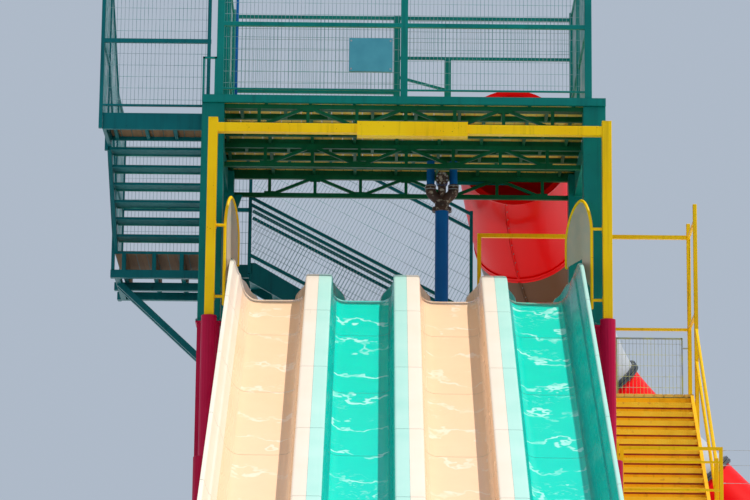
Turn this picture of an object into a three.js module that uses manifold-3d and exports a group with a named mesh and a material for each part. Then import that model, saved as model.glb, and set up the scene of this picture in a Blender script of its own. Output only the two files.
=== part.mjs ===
// Water slide tower: a steel launch tower with four moulded lanes, an upper deck with a closed
// flume, a green stair on the left and behind, and a yellow switchback stair on the right.
// Millimetres, +X right as seen from the slide's foot, +Y away from it, +Z up, ground at 0.
// While it is built, X 0 is the slide's centre line and Y 0 the front of the tower's columns.
import * as THREE from "three";
import { mergeVertices } from "three/addons/utils/BufferGeometryUtils.js";
import Module from "manifold-3d";

const wasm = await Module();
wasm.setup();

// Driving dimensions
const GAP = 0.3; // between neighbouring pieces
const DECK_Z = 15330; // top of the upper deck
const LAUNCH_Z = 11860; // top of the launch floor
const GREEN_Z = 12060; // crimson columns end here and green ones begin
const FASCIA = 110; // depth of the upper deck's edge channel
const DECK_UNDER = DECK_Z - FASCIA;
const TRUSS_BOTTOM = 14870;
const TOWER_X = -55; // the tower's middle lies a little left of the slide's
const HALF_WIDTH = 2844; // outside of the tower's columns
const COLUMN = { width: 315, depth: 300, backY: 3600 };
const TOWER_BACK = COLUMN.backY + COLUMN.depth;
const COLUMN_IN = HALF_WIDTH - COLUMN.width;
const COLUMN_X = HALF_WIDTH - COLUMN.width / 2;
const DECK_BACK = TOWER_BACK;
const DECK_FRONT = -50;
const FENCE_TOP = DECK_Z + 2410;

// Slide: four lanes side by side
const LANE_PITCH = 1210;
const LANES = [-1.5, -0.5, 0.5, 1.5].map((n) => n * LANE_PITCH);
const SKIN = 15; // thickness of a moulding
const DIVIDER_RISE = 360;
const OUTER_RISE = 550;
const SLOPE = Math.atan(0.636);
const CREST = { y: 394, z: 12430, r: 1500 }; // centre line of the rounded crest
const RUNOUT = { y: -20995, z: 400, r: 7000, end: -26500 };
const SEAM = { first: -1404, pitch: 1822.5 };
const RUNOUT_SEAM = SEAM.first - 8 * SEAM.pitch;
const TUB_BACK = 1700;

// Stairs
const RISE = 184; // left green flight
const YELLOW_RISE = 178;
const YELLOW_STEPS = 14;
const YELLOW = { inner: 2960, outer: 4335, topY: 3700, going: 205 };
const STAIR_WELL = 520; // between the two rows of yellow flights

const PAINT = {
  green: [0x006a60, 0.4, 0.3],
  boards: [0xc8b060, 0.8, 0],
  crimson: [0xa8003a, 0.35, 0.2],
  yellow: [0xf0c400, 0.4, 0.2],
  treads: [0xf2b705, 0.5, 0.2],
  cream: [0xf8dfb8, 0.3, 0],
  turquoise: [0x00d8c0, 0.25, 0],
  blue: [0x0a4fa0, 0.4, 0.2],
  red: [0xe00000, 0.2, 0],
  brown: [0x3a2410, 0.3, 0],
  grey: [0xb9bcc0, 0.4, 0],
  board: [0x4fa8b8, 0.5, 0],
};

const model = new THREE.Group();

// A closed three.js geometry as a solid that can be joined and cut
function solid(geometry) {
  const plain = geometry.index ? geometry.clone() : geometry;
  plain.deleteAttribute("normal");
  plain.deleteAttribute("uv");
  const merged = mergeVertices(plain, 1e-3);
  return new wasm.Manifold(
    new wasm.Mesh({
      numProp: 3,
      vertProperties: new Float32Array(merged.attributes.position.array),
      triVerts: new Uint32Array(merged.index.array),
    }),
  );
}

function join(...solids) {
  return solids.flat(Infinity).reduce((all, next) => all.add(next));
}

// Adds a solid to the model as one named mesh, moved sideways when it was drawn about the tower
function piece(name, shape, paint, shift = 0) {
  const made = (shift ? shape.translate([shift, 0, 0]) : shape).getMesh();
  const geometry = new THREE.BufferGeometry();
  geometry.setAttribute("position", new THREE.BufferAttribute(made.vertProperties, 3));
  geometry.setIndex(new THREE.BufferAttribute(made.triVerts, 1));
  geometry.computeVertexNormals();
  const [color, roughness, metalness] = PAINT[paint];
  const mesh = new THREE.Mesh(
    geometry,
    new THREE.MeshStandardMaterial({ color, roughness, metalness, flatShading: true }),
  );
  mesh.name = name;
  model.add(mesh);
}

// A box between two values on each axis, in either order
function block(xa, xb, ya, yb, za, zb) {
  const box = new THREE.BoxGeometry(Math.abs(xb - xa), Math.abs(yb - ya), Math.abs(zb - za));
  box.translate((xa + xb) / 2, (ya + yb) / 2, (za + zb) / 2);
  return solid(box);
}

// Turns a geometry that lies along +Z, centred, so that it runs from a to b
function along(geometry, a, b) {
  const from = new THREE.Vector3(...a);
  const axis = new THREE.Vector3(...b).sub(from);
  const forward = axis.clone().normalize();
  const side = Math.abs(forward.z) > 0.999 ? new THREE.Vector3(1, 0, 0) : new THREE.Vector3(0, 0, 1);
  const right = new THREE.Vector3().crossVectors(forward, side).normalize();
  const up = new THREE.Vector3().crossVectors(forward, right);
  const turn = new THREE.Matrix4().makeBasis(right, up, forward.clone());
  turn.setPosition(from.addScaledVector(axis, 0.5));
  return geometry.applyMatrix4(turn);
}

// A square or flat bar from a to b, its height in the vertical plane of its run
function bar(a, b, width, height = width) {
  const length = new THREE.Vector3(...a).distanceTo(new THREE.Vector3(...b));
  return solid(along(new THREE.BoxGeometry(width, height, length), a, b));
}

// A round tube or post from a to b
function pipe(a, b, diameter, sides = 8) {
  const length = new THREE.Vector3(...a).distanceTo(new THREE.Vector3(...b));
  const cylinder = new THREE.CylinderGeometry(diameter / 2, diameter / 2, length, sides);
  cylinder.rotateX(Math.PI / 2);
  return solid(along(cylinder, a, b));
}

// A flat outline in Y and Z, given as [y, z] pairs, made into a plate between two X values
function sidePlate(points, xa, xb) {
  const shape = new THREE.Shape(points.map(([y, z]) => new THREE.Vector2(y, z)));
  const plate = new THREE.ExtrudeGeometry(shape, { depth: Math.abs(xb - xa), bevelEnabled: false });
  const turn = new THREE.Matrix4().makeBasis(
    new THREE.Vector3(0, 1, 0),
    new THREE.Vector3(0, 0, 1),
    new THREE.Vector3(1, 0, 0),
  );
  plate.applyMatrix4(turn);
  plate.translate(Math.min(xa, xb), 0, 0);
  return solid(plate);
}

// A flat outline in X and Z made into a plate between two Y values
function frontPlate(points, ya, yb) {
  const shape = new THREE.Shape(points.map(([x, z]) => new THREE.Vector2(x, z)));
  const plate = new THREE.ExtrudeGeometry(shape, { depth: Math.abs(yb - ya), bevelEnabled: false });
  plate.rotateX(Math.PI / 2);
  plate.translate(0, Math.max(ya, yb), 0);
  return solid(plate);
}

// A curve that passes through chosen stations, one step each, so that straights take one step
class StationCurve extends THREE.Curve {
  constructor(points, tangents) {
    super();
    this.points = points;
    this.tangents = tangents;
  }
  getPointAt(u, target = new THREE.Vector3()) {
    return target.copy(this.points[Math.round(u * (this.points.length - 1))]);
  }
  getTangentAt(u, target = new THREE.Vector3()) {
    return target.copy(this.tangents[Math.round(u * (this.points.length - 1))]);
  }
}

// Sweeps a closed section along a station curve; holes are inner outlines
function sweep(section, curve, holes = []) {
  const shape = new THREE.Shape(section);
  holes.forEach((hole) => shape.holes.push(new THREE.Path(hole)));
  const steps = curve.points.length - 1;
  return solid(new THREE.ExtrudeGeometry(shape, { steps, bevelEnabled: false, extrudePath: curve }));
}

// Stations of the lanes' floor line between two Y values, from the foot upwards
function laneStations(fromY, toY) {
  const stations = [];
  const add = (y, z, angle) => {
    if (y < fromY - 1 || y > toY + 1) return;
    stations.push({ y, z, angle });
  };
  const lineZ = (y) => {
    const top = CREST.y - CREST.r * Math.sin(SLOPE);
    const topZ = CREST.z - CREST.r * (1 - Math.cos(SLOPE));
    return topZ + (y - top) * Math.tan(SLOPE);
  };
  add(RUNOUT.end, RUNOUT.z, 0);
  const footSteps = 5;
  for (let i = 0; i <= footSteps; i++) {
    const angle = (SLOPE * i) / footSteps;
    const y = RUNOUT.y + RUNOUT.r * Math.sin(angle);
    add(y, RUNOUT.z + RUNOUT.r * (1 - Math.cos(angle)), angle);
  }
  for (const y of [RUNOUT_SEAM, SEAM.first]) {
    if (y > fromY - 1 && y < toY + 1) add(y, lineZ(y), SLOPE);
  }
  const crestSteps = 4;
  for (let i = crestSteps; i >= 0; i--) {
    const angle = (SLOPE * i) / crestSteps;
    const y = CREST.y - CREST.r * Math.sin(angle);
    add(y, CREST.z - CREST.r * (1 - Math.cos(angle)), angle);
  }
  return stations.sort((a, b) => a.y - b.y);
}

function laneCurve(fromY, toY, x, shorten = 0) {
  const stations = laneStations(fromY, toY);
  const points = stations.map(({ y, z }) => new THREE.Vector3(x, y, z));
  const tangents = stations.map(
    ({ angle }) => new THREE.Vector3(0, Math.cos(angle), Math.max(Math.sin(angle), 1e-6)),
  );
  const last = points.length - 1;
  points[0].addScaledVector(tangents[0], shorten);
  points[last].addScaledVector(tangents[last], -shorten);
  return new StationCurve(points, tangents);
}

// Cross-section of one moulded lane, floor top at 0; the outer side has a taller, flared wall
function laneSection(outerSide) {
  const edge = LANE_PITCH / 2 - GAP / 2;
  const inner = [
    [edge, DIVIDER_RISE],
    [425, DIVIDER_RISE],
    [410, DIVIDER_RISE - 25],
    [400, 70],
    [370, 25],
    [320, 0],
  ];
  const innerUnder = [
    [320, -SKIN],
    [378, 12],
    [414, 62],
    [425, DIVIDER_RISE - 35],
    [edge, DIVIDER_RISE - SKIN],
  ];
  const outer = [
    [625, OUTER_RISE],
    [578, OUTER_RISE],
    [548, OUTER_RISE - 60],
    [490, 300],
    [425, 110],
    [385, 35],
    [320, 0],
  ];
  const outerUnder = [
    [320, -SKIN],
    [393, 20],
    [438, 103],
    [504, 295],
    [562, OUTER_RISE - 66],
    [587, OUTER_RISE - SKIN],
    [625, OUTER_RISE - SKIN],
  ];
  // swept sections come out mirrored in X, so +1 here is the left side
  const left = outerSide < 0 ? [outer, outerUnder] : [inner, innerUnder];
  const right = outerSide > 0 ? [outer, outerUnder] : [inner, innerUnder];
  const flip = (list) => list.map(([x, y]) => [-x, y]);
  const outline = [
    ...left[0],
    ...flip(right[0]).reverse(),
    ...flip(right[1]).reverse(),
    ...left[1],
  ];
  return outline.map(([x, y]) => new THREE.Vector2(x, y));
}

const outerSideOf = (lane) => (lane === 0 ? -1 : lane === 3 ? 1 : 0);

// One lattice girder in the XZ plane: chords, uprights at even pitch, diagonals in pairs
function truss(y, halfSpan, shift) {
  const chord = 65;
  const web = 48;
  const pitch = 690;
  const low = TRUSS_BOTTOM + chord / 2;
  const high = DECK_UNDER - GAP - chord / 2;
  const bars = [low, high].map((z) => bar([-halfSpan, y, z], [halfSpan, y, z], chord));
  for (let n = -3; n <= 3; n++) {
    const x = n * pitch + shift;
    bars.push(block(x - web / 2, x + web / 2, y - web / 2, y + web / 2, low, high));
  }
  for (let n = -3; n < 3; n++) {
    const rising = Math.abs(n) % 2 === 1;
    const a = [n * pitch + shift, y, rising ? low : high];
    const b = [(n + 1) * pitch + shift, y, rising ? high : low];
    bars.push(bar(a, b, web - 4));
  }
  return join(bars);
}

// X-braced panels between two posts in a plane, levels given from the foot upwards
function bracing(levels, place, halfWidth, inset) {
  const bars = [];
  levels.slice(1).forEach((z, i) => {
    const below = levels[i];
    bars.push(bar(place(-halfWidth, z), place(halfWidth, z), 150));
    bars.push(bar(place(-halfWidth, below + inset), place(halfWidth, z), 100));
    bars.push(bar(place(halfWidth, below + inset), place(-halfWidth, z), 96));
  });
  bars.push(bar(place(0, levels[1]), place(0, levels[levels.length - 1]), 90));
  return join(bars);
}

// Tower: crimson side frames from the ground, each two columns with cross bracing, and the round
// column in front, tied back to them, that carries the yellow gateway
const BRACE_LEVELS = [30, 3900, 7800, 11450];
const GATE = { mid: 30, x: 2747, y: -345, post: 132, top: 14890, beamZ: 14752 };
for (const [side, word] of [[-1, "left"], [1, "right"]]) {
  const parts = [];
  for (const y of [0, COLUMN.backY]) {
    const mid = y + COLUMN.depth / 2;
    parts.push(block(side * COLUMN_IN, side * HALF_WIDTH, y, y + COLUMN.depth, 20, GREEN_Z - GAP));
    parts.push(block(side * (COLUMN_X - 190), side * (COLUMN_X + 190), mid - 210, mid + 210, 0, 30));
    parts.push(block(
      side * (COLUMN_X - 180), side * (COLUMN_X + 180), mid - 180, mid + 180, GREEN_Z - 25, GREEN_Z - GAP,
    ));
  }
  const middle = TOWER_BACK / 2;
  const place = (s, z) => [side * COLUMN_X, middle + s, z];
  parts.push(bracing(BRACE_LEVELS, place, middle - COLUMN.depth / 2, 120));
  const x = GATE.mid + side * GATE.x - TOWER_X;
  parts.push(pipe([x, GATE.y, 0], [x, GATE.y, GREEN_Z - GAP], 215, 16));
  parts.push(block(x - 150, x + 150, GATE.y - 150, GATE.y + 150, 0, 25));
  for (const z of BRACE_LEVELS.slice(1)) {
    parts.push(block(x - 60, x + 60, GATE.y, 10, z - 60, z + 60));
  }
  piece(`lower_side_frame_${word}`, join(parts), "crimson", TOWER_X);
}

// Bracing between the side frames at the back
const braceReach = COLUMN_IN - GAP;
const braceY = COLUMN.backY + 150;
const braceClip = block(-braceReach, braceReach, braceY - 200, braceY + 200, 0, LAUNCH_Z);
const backBars = bracing(BRACE_LEVELS, (x, z) => [x, braceY, z], COLUMN_IN + 40, 300);
piece("lower_bracing_back", backBars.intersect(braceClip), "crimson", TOWER_X);

// Yellow gateway: two posts, a beam across, a wider sleeve at its middle
const gateParts = [-1, 1].flatMap((side) => {
  const x = side * GATE.x;
  const half = GATE.post / 2;
  return [block(x - half, x + half, GATE.y - half, GATE.y + half, GREEN_Z, GATE.top)];
});
gateParts.push(block(-GATE.x, GATE.x, GATE.y - 62, GATE.y + 62, GATE.beamZ - 65, GATE.beamZ + 65));
gateParts.push(block(-730, 800, GATE.y - 84, GATE.y + 84, GATE.beamZ - 108, GATE.beamZ + 97));
piece("gateway_frame", join(gateParts), "yellow", GATE.mid);

// Green upper side frames: front and back column with the side beam under the deck
for (const [side, word] of [[-1, "left"], [1, "right"]]) {
  const parts = [];
  for (const y of [0, COLUMN.backY]) {
    const mid = y + COLUMN.depth / 2;
    parts.push(block(
      side * COLUMN_IN, side * HALF_WIDTH, y, y + COLUMN.depth, GREEN_Z, DECK_UNDER - GAP,
    ));
    parts.push(block(
      side * (COLUMN_X - 180), side * (COLUMN_X + 180), mid - 180, mid + 180, GREEN_Z, GREEN_Z + 20,
    ));
  }
  parts.push(block(
    side * (COLUMN_X - 70), side * (COLUMN_X + 70), 200, COLUMN.backY + 50, TRUSS_BOTTOM, DECK_UNDER - GAP,
  ));
  if (side < 0) {
    const haunch = [
      [-COLUMN_IN - 20, TRUSS_BOTTOM - GAP],
      [-COLUMN_IN + 130, TRUSS_BOTTOM - GAP],
      [-COLUMN_IN - 20, TRUSS_BOTTOM - 440],
    ];
    parts.push(frontPlate(haunch, 3700, 3760));
  }
  piece(`upper_side_frame_${word}`, join(parts), "green", TOWER_X);
}

piece("truss_front", truss(75, COLUMN_IN - GAP, 30), "green", TOWER_X);
piece("truss_middle", truss(2100, COLUMN_X - 70 - GAP, 60), "green", TOWER_X);
piece("truss_back", truss(3835, COLUMN_IN - GAP, 75), "green", TOWER_X);

// Upper deck: edge channels with joists across
const deckParts = [
  block(-HALF_WIDTH, HALF_WIDTH, DECK_FRONT, DECK_FRONT + 60, DECK_UNDER, DECK_Z),
  block(-HALF_WIDTH, HALF_WIDTH, DECK_BACK - 60, DECK_BACK, DECK_UNDER, DECK_Z),
  block(-HALF_WIDTH, -HALF_WIDTH + 60, DECK_FRONT, DECK_BACK, DECK_UNDER, DECK_Z),
  block(HALF_WIDTH - 60, HALF_WIDTH, DECK_FRONT, DECK_BACK, DECK_UNDER, DECK_Z),
];
const JOISTS = 8;
const JOIST_FOOT = DECK_UNDER + 4;
for (let n = 1; n <= JOISTS; n++) {
  const y = DECK_FRONT + (n * (DECK_BACK - DECK_FRONT)) / (JOISTS + 1);
  deckParts.push(block(-HALF_WIDTH + 20, HALF_WIDTH - 20, y - 32, y + 32, JOIST_FOOT, DECK_Z - 32));
}
// plate hung from the back edge in front of the flume's mouth
deckParts.push(block(850, 1630, DECK_BACK - 25, DECK_BACK, DECK_UNDER - 110, DECK_Z));
piece("upper_deck_frame", join(deckParts), "green", TOWER_X);
piece("upper_deck_boards", block(
  -HALF_WIDTH + 60 + GAP, HALF_WIDTH - 60 - GAP, DECK_FRONT + 60 + GAP, DECK_BACK - 60 - GAP,
  DECK_Z - 32 + GAP, DECK_Z,
), "boards", TOWER_X);

// Fences round the upper deck: posts and rails, the wire mesh between them is finer work
const FENCE = { x: 2600, front: -15, back: 3850, low: DECK_Z + 96, hand: DECK_Z + 1050 };
const LOW_RAIL = 26;
const HAND_RAIL = 60;
const TOP_RAIL = 50;
function fencePost(x, y, foot = DECK_Z + GAP, top = FENCE_TOP + 30) {
  return block(x - 50, x + 50, y - 30, y + 30, foot, top);
}
function fenceRails(a, b, levels = [[FENCE.low, LOW_RAIL], [FENCE.hand, HAND_RAIL], [FENCE_TOP, TOP_RAIL]]) {
  return levels.map(([z, size]) => bar([...a, z], [...b, z], size));
}
const LANDING = { left: -4316, front: 250, back: 1390, z: 15131, deep: 237 };
const sideEnd = FENCE.back - 250;
const gatePost = LANDING.back + 60; // far side of the way onto the left landing
piece("upper_deck_fence", join(
  [-FENCE.x, 0, FENCE.x].map((x) => fencePost(x, FENCE.front)),
  fenceRails([-FENCE.x, FENCE.front], [FENCE.x, FENCE.front]),
  [-FENCE.x, FENCE.x].flatMap((x) => [1900, sideEnd].map((y) => fencePost(x, y))),
  fenceRails([FENCE.x, FENCE.front], [FENCE.x, sideEnd]),
  fencePost(-FENCE.x, gatePost),
  fenceRails([-FENCE.x, gatePost], [-FENCE.x, sideEnd]),
  fenceRails([-FENCE.x, FENCE.front], [-FENCE.x, gatePost], [[FENCE_TOP, TOP_RAIL]]),
), "green", TOWER_X);

// Back fence, open in front of the flume below a header rail
const FLUME_GATE = { from: -79, post: 700, header: 17100, hand: 16545 };
piece("upper_deck_back_fence", join(
  [-FENCE.x, FLUME_GATE.from, FENCE.x + 30].map((x) => fencePost(x, FENCE.back)),
  fencePost(FLUME_GATE.post, FENCE.back, DECK_Z + GAP, FLUME_GATE.header),
  fenceRails([-FENCE.x, FENCE.back], [FENCE.x, FENCE.back], [[FENCE_TOP, TOP_RAIL]]),
  fenceRails([-FENCE.x, FENCE.back], [FLUME_GATE.from, FENCE.back], [[FLUME_GATE.hand, 44]]),
  fenceRails([-FENCE.x, FENCE.back], [FLUME_GATE.post, FENCE.back], [[FENCE.low, LOW_RAIL]]),
  fenceRails([FLUME_GATE.from, FENCE.back], [FENCE.x, FENCE.back], [[FLUME_GATE.header, 44]]),
  bar([FLUME_GATE.from, FENCE.back, 16800], [FLUME_GATE.post, FENCE.back, 16590], 40),
), "green", TOWER_X);
piece("blank_board", block(
  -781, -165, FENCE.front - 52, FENCE.front - HAND_RAIL / 2 - GAP, 15680, 16175,
), "board", TOWER_X);

// Small landing left of the deck
const TOWER_LEFT = TOWER_X - HALF_WIDTH;
const landingEnd = TOWER_LEFT - GAP;
const EDGE = 90; // depth of the channel along the landing's back
const landingParts = [
  block(LANDING.left, landingEnd, LANDING.front, LANDING.front + 50, LANDING.z - LANDING.deep, LANDING.z),
  block(LANDING.left, landingEnd, LANDING.back - 50, LANDING.back, LANDING.z - EDGE, LANDING.z),
  sidePlate(
    [
      [LANDING.front, LANDING.z],
      [LANDING.front, LANDING.z - LANDING.deep],
      [LANDING.back, LANDING.z - 2 * EDGE],
      [LANDING.back, LANDING.z],
    ].reverse(),
    LANDING.left, LANDING.left + 50,
  ),
  block(LANDING.left, landingEnd, LANDING.front, LANDING.back, LANDING.z - 35, LANDING.z),
];
const LANDING_JOISTS = [-4180, -3730, -3320];
for (const x of LANDING_JOISTS) {
  landingParts.push(block(x - 25, x + 25, LANDING.front, LANDING.back, LANDING.z - EDGE + 10, LANDING.z));
}
piece("left_upper_landing", join(landingParts), "green");

// Open-riser green flight that goes down away from the viewer
function openFlight({ xa, xb, topY, topZ, risers, going, rise, deep, tread = 35 }) {
  const parts = [];
  const run = (risers - 1) * going;
  const drop = risers * rise;
  for (const x of [xa, xb - 45]) {
    parts.push(sidePlate(
      [
        [topY, topZ - deep],
        [topY, topZ],
        [topY + run, topZ - drop + rise - 20],
        [topY + run, topZ - drop - deep + rise],
      ],
      x, x + 45,
    ));
  }
  for (let n = 1; n < risers; n++) {
    const y = topY + n * going;
    const z = topZ - n * rise;
    parts.push(block(xa + 20, xb - 20, y - going, y + 10, z - tread, z));
  }
  return join(parts);
}
const LEFT_RISERS = 7;
const LEFT_GOING = 300;
const flightEndY = LANDING.back + (LEFT_RISERS - 1) * LEFT_GOING + 2 * GAP;
piece("left_flight", openFlight({
  xa: LANDING.left, xb: TOWER_LEFT - 20, topY: LANDING.back + GAP, topZ: LANDING.z,
  risers: LEFT_RISERS, going: LEFT_GOING, rise: RISE, deep: 230,
}), "green");

// Lower landing, its boards held by joists on two cross beams, with two braces from the column
const LOWER = {
  left: LANDING.left, right: TOWER_LEFT - 10, front: flightEndY, back: 4720,
  z: LANDING.z - LEFT_RISERS * RISE, beam: [-403, -283],
};
const PLATFORM = { left: 1100, right: 4335, back: 4720, mid: 2900 }; // behind the tower, on the right
const BACK_FLIGHT = { front: 3960, back: 4720, topX: -2340, risers: 11 };
BACK_FLIGHT.going = (PLATFORM.left - BACK_FLIGHT.topX) / (BACK_FLIGHT.risers - 1);
BACK_FLIGHT.rise = (LOWER.z - LAUNCH_Z) / BACK_FLIGHT.risers;
const BOARD = 40;
const lowerParts = [
  block(LOWER.left, LOWER.right, LOWER.front, LOWER.back, LOWER.z - BOARD, LOWER.z),
  block(LOWER.right - 60, BACK_FLIGHT.topX, BACK_FLIGHT.front, LOWER.back, LOWER.z - BOARD, LOWER.z),
  block(LOWER.right - 60, BACK_FLIGHT.topX, LOWER.back - 60, LOWER.back, LOWER.z - 200, LOWER.z),
  block(
    LOWER.right - 60, BACK_FLIGHT.topX, BACK_FLIGHT.front, BACK_FLIGHT.front + 60, LOWER.z - 200, LOWER.z,
  ),
];
const beamZ = LOWER.beam.map((z) => LOWER.z + z);
for (const y of [LOWER.front, 4000, LOWER.back - 90]) {
  lowerParts.push(block(LOWER.left - 60, LOWER.right, y, y + 90, ...beamZ));
}
for (const x of [...LANDING_JOISTS, LOWER.right - 50]) {
  lowerParts.push(block(x - 30, x + 30, LOWER.front, LOWER.back, beamZ[1] - 10, LOWER.z));
}
const COLUMN_SIDE = TOWER_LEFT - GAP;
for (const y of [3645, 3855]) {
  lowerParts.push(bar([LOWER.left + 40, y, beamZ[0] + 20], [COLUMN_SIDE - 60, y, 12240], 90));
}
for (const x of [LOWER.left + 40, LOWER.right - 80]) {
  lowerParts.push(block(x - 40, x + 40, LOWER.front, LOWER.back, beamZ[0], beamZ[1] - 20));
}
lowerParts.push(block(COLUMN_SIDE - 120, COLUMN_SIDE, COLUMN.backY, TOWER_BACK, 12110, 12360));
piece("left_lower_landing", join(lowerParts), "green");

// Fence round the left stair, one body from the top landing to the lower one
const STAIR_FENCE_X = LANDING.left - 25 - GAP;
const STAIR_RAILS = [[104, LOW_RAIL], [1060, HAND_RAIL], [2410, TOP_RAIL]];
const stairFenceTop = 2440;
const frontY = LANDING.front - 25 - GAP;
const rearY = LOWER.back + 25 + GAP;
const fencePath = [
  [frontY, LANDING.z],
  [LANDING.back, LANDING.z],
  [flightEndY, LOWER.z],
  [rearY, LOWER.z],
];
const fenceParts = [];
for (const [rise, size] of STAIR_RAILS) {
  const inner = rise > DECK_Z - LANDING.z ? TOWER_LEFT + 100 : TOWER_LEFT - GAP;
  fencePath.slice(1).forEach(([y, z], i) => {
    const [ya, za] = fencePath[i];
    const foot = [STAIR_FENCE_X, ya, za + rise];
    fenceParts.push(bar(foot, [STAIR_FENCE_X, y, z + rise], Math.min(size, 48), size));
  });
  const at = (x, y, z) => [x, y, z + rise];
  fenceParts.push(bar(at(STAIR_FENCE_X, frontY, LANDING.z), at(inner, frontY, LANDING.z), 44, size));
  fenceParts.push(bar(at(STAIR_FENCE_X, rearY, LOWER.z), at(BACK_FLIGHT.topX, rearY, LOWER.z), 44, size));
}
const stairPosts = [
  [STAIR_FENCE_X, frontY, LANDING.z, LANDING.deep],
  [STAIR_FENCE_X, LANDING.back, LANDING.z, LANDING.deep],
  [STAIR_FENCE_X, flightEndY, LOWER.z, -LOWER.beam[1] - GAP],
  [STAIR_FENCE_X, rearY, LOWER.z, -LOWER.beam[0]],
  [TOWER_LEFT + 70, frontY, LANDING.z, -(DECK_Z - LANDING.z) - GAP],
  [BACK_FLIGHT.topX - 30, rearY, LOWER.z, 180, 2830], // also carries the back flight's far fence
];
for (const [x, y, z, deep, rise = stairFenceTop] of stairPosts) {
  fenceParts.push(block(x - 25, x + 25, y - 25, y + 25, z - deep, z + rise));
}
piece("left_stair_fence", join(fenceParts), "green");

// Green flight behind the tower, down from left to right
const backSlope = BACK_FLIGHT.rise / BACK_FLIGHT.going;
const backEndX = PLATFORM.left;
const backParts = [];
for (const y of [BACK_FLIGHT.front, BACK_FLIGHT.back - 50]) {
  backParts.push(frontPlate(
    [
      [BACK_FLIGHT.topX + GAP, LOWER.z - 250],
      [BACK_FLIGHT.topX + GAP, LOWER.z + 30],
      [BACK_FLIGHT.topX + 90, LOWER.z + 30],
      [backEndX - GAP, LAUNCH_Z + 70],
      [backEndX - GAP, LAUNCH_Z - 130],
      [backEndX - 160, LAUNCH_Z - 130],
    ],
    y, y + 50,
  ));
}
for (let n = 1; n < BACK_FLIGHT.risers; n++) {
  const x = BACK_FLIGHT.topX + n * BACK_FLIGHT.going;
  const z = LOWER.z - n * BACK_FLIGHT.rise;
  const nose = n < BACK_FLIGHT.risers - 1 ? 10 : -GAP;
  backParts.push(block(
    x - BACK_FLIGHT.going + GAP, x + nose, BACK_FLIGHT.front + 20, BACK_FLIGHT.back - 20, z - 35, z,
  ));
}
piece("back_flight", join(backParts), "green");

// Handrails of the back flight, one each side, and the tall fence beyond it
function slopingFence(y, heights, postTop, topPost) {
  const xa = BACK_FLIGHT.topX + (topPost ? 0 : 12);
  const xb = backEndX - 60;
  const zAt = (x) => LOWER.z - (x - BACK_FLIGHT.topX) * backSlope + 60;
  const parts = heights.map((h) => bar([xa, y, zAt(xa) + h], [xb, y, zAt(xb) + h], 46));
  for (const x of topPost ? [xa, xb] : [xb]) {
    parts.push(block(x - 25, x + 25, y - 24, y + 24, zAt(x) - 200, zAt(x) + postTop));
  }
  return join(parts);
}
const BACK_RAILS = [90, 880, 990];
const nearFence = slopingFence(BACK_FLIGHT.front - 24 - GAP, BACK_RAILS, 1010, true);
const farFence = slopingFence(BACK_FLIGHT.back + 24 + GAP, [...BACK_RAILS, 2500, 2740], 2790, false);
piece("back_flight_fence_near", nearFence, "green");
piece("back_flight_fence_far", farFence, "green");

// Launch floor and its frame, with the platform behind on the right
const FLOOR = 50;
const FRAME_DEEP = 250;
const frameTop = LAUNCH_Z - FLOOR - GAP;
const frameFoot = frameTop - FRAME_DEEP;
const [inLeft, inRight] = [-1, 1].map((side) => TOWER_X + side * (COLUMN_IN - GAP));
const stairHead = YELLOW.topY + GAP;
const frameBlock = (xa, xb, ya, yb) => block(xa, xb, ya, yb, frameFoot, frameTop);
piece("launch_frame", join(
  frameBlock(inLeft, inLeft + 150, 0, TOWER_BACK),
  frameBlock(inRight - 150, inRight, 0, PLATFORM.back),
  [0, 1250, 2500, 3750].map((y) => frameBlock(inLeft, inRight, y, y + 150)),
  frameBlock(PLATFORM.left, PLATFORM.left + 100, 3800, PLATFORM.back),
  frameBlock(PLATFORM.left, PLATFORM.right, PLATFORM.back - 100, PLATFORM.back),
  frameBlock(PLATFORM.right - 100, PLATFORM.right, stairHead, PLATFORM.back),
  frameBlock(PLATFORM.mid, PLATFORM.mid + 100, stairHead, PLATFORM.back),
  frameBlock(PLATFORM.mid, PLATFORM.right, stairHead, stairHead + 100),
), "green");

const RISER_PIPE = { x: 550, y: 3000, top: 14450 };
const floorZ = [LAUNCH_Z - FLOOR, LAUNCH_Z];
const launchFloor = join(
  block(inLeft, inRight, TUB_BACK + 50, TOWER_BACK + 2 * GAP, ...floorZ),
  block(PLATFORM.left, PLATFORM.mid, TOWER_BACK + GAP, PLATFORM.back, ...floorZ),
  block(PLATFORM.mid - 50, PLATFORM.right, stairHead, PLATFORM.back, ...floorZ),
);
const riserHole = pipe([RISER_PIPE.x, RISER_PIPE.y, 11000], [RISER_PIPE.x, RISER_PIPE.y, 12500], 260, 12);
piece("launch_floor", launchFloor.subtract(riserHole), "boards");

// Slide: start tubs as one row of mouldings on the launch frame, then four lanes and the run-out
const tubFoot = LAUNCH_Z - FLOOR;
const tubTop = CREST.z + DIVIDER_RISE;
const tubParts = LANES.map((x, lane) => (
  sweep(laneSection(outerSideOf(lane)), laneCurve(SEAM.first, CREST.y, x, GAP / 2))
));
// shallow seat behind the crest and the rear lip
const seat = [
  [CREST.y - 5, tubFoot],
  [CREST.y - 5, CREST.z],
  [CREST.y + 60, CREST.z - 8],
  [CREST.y + 300, CREST.z - 150],
  [TUB_BACK - 250, CREST.z - 170],
  [TUB_BACK - 90, CREST.z - 60],
  [TUB_BACK, CREST.z - 60],
  [TUB_BACK, tubFoot],
];
tubParts.push(sidePlate(seat, -2 * LANE_PITCH, 2 * LANE_PITCH));
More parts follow.
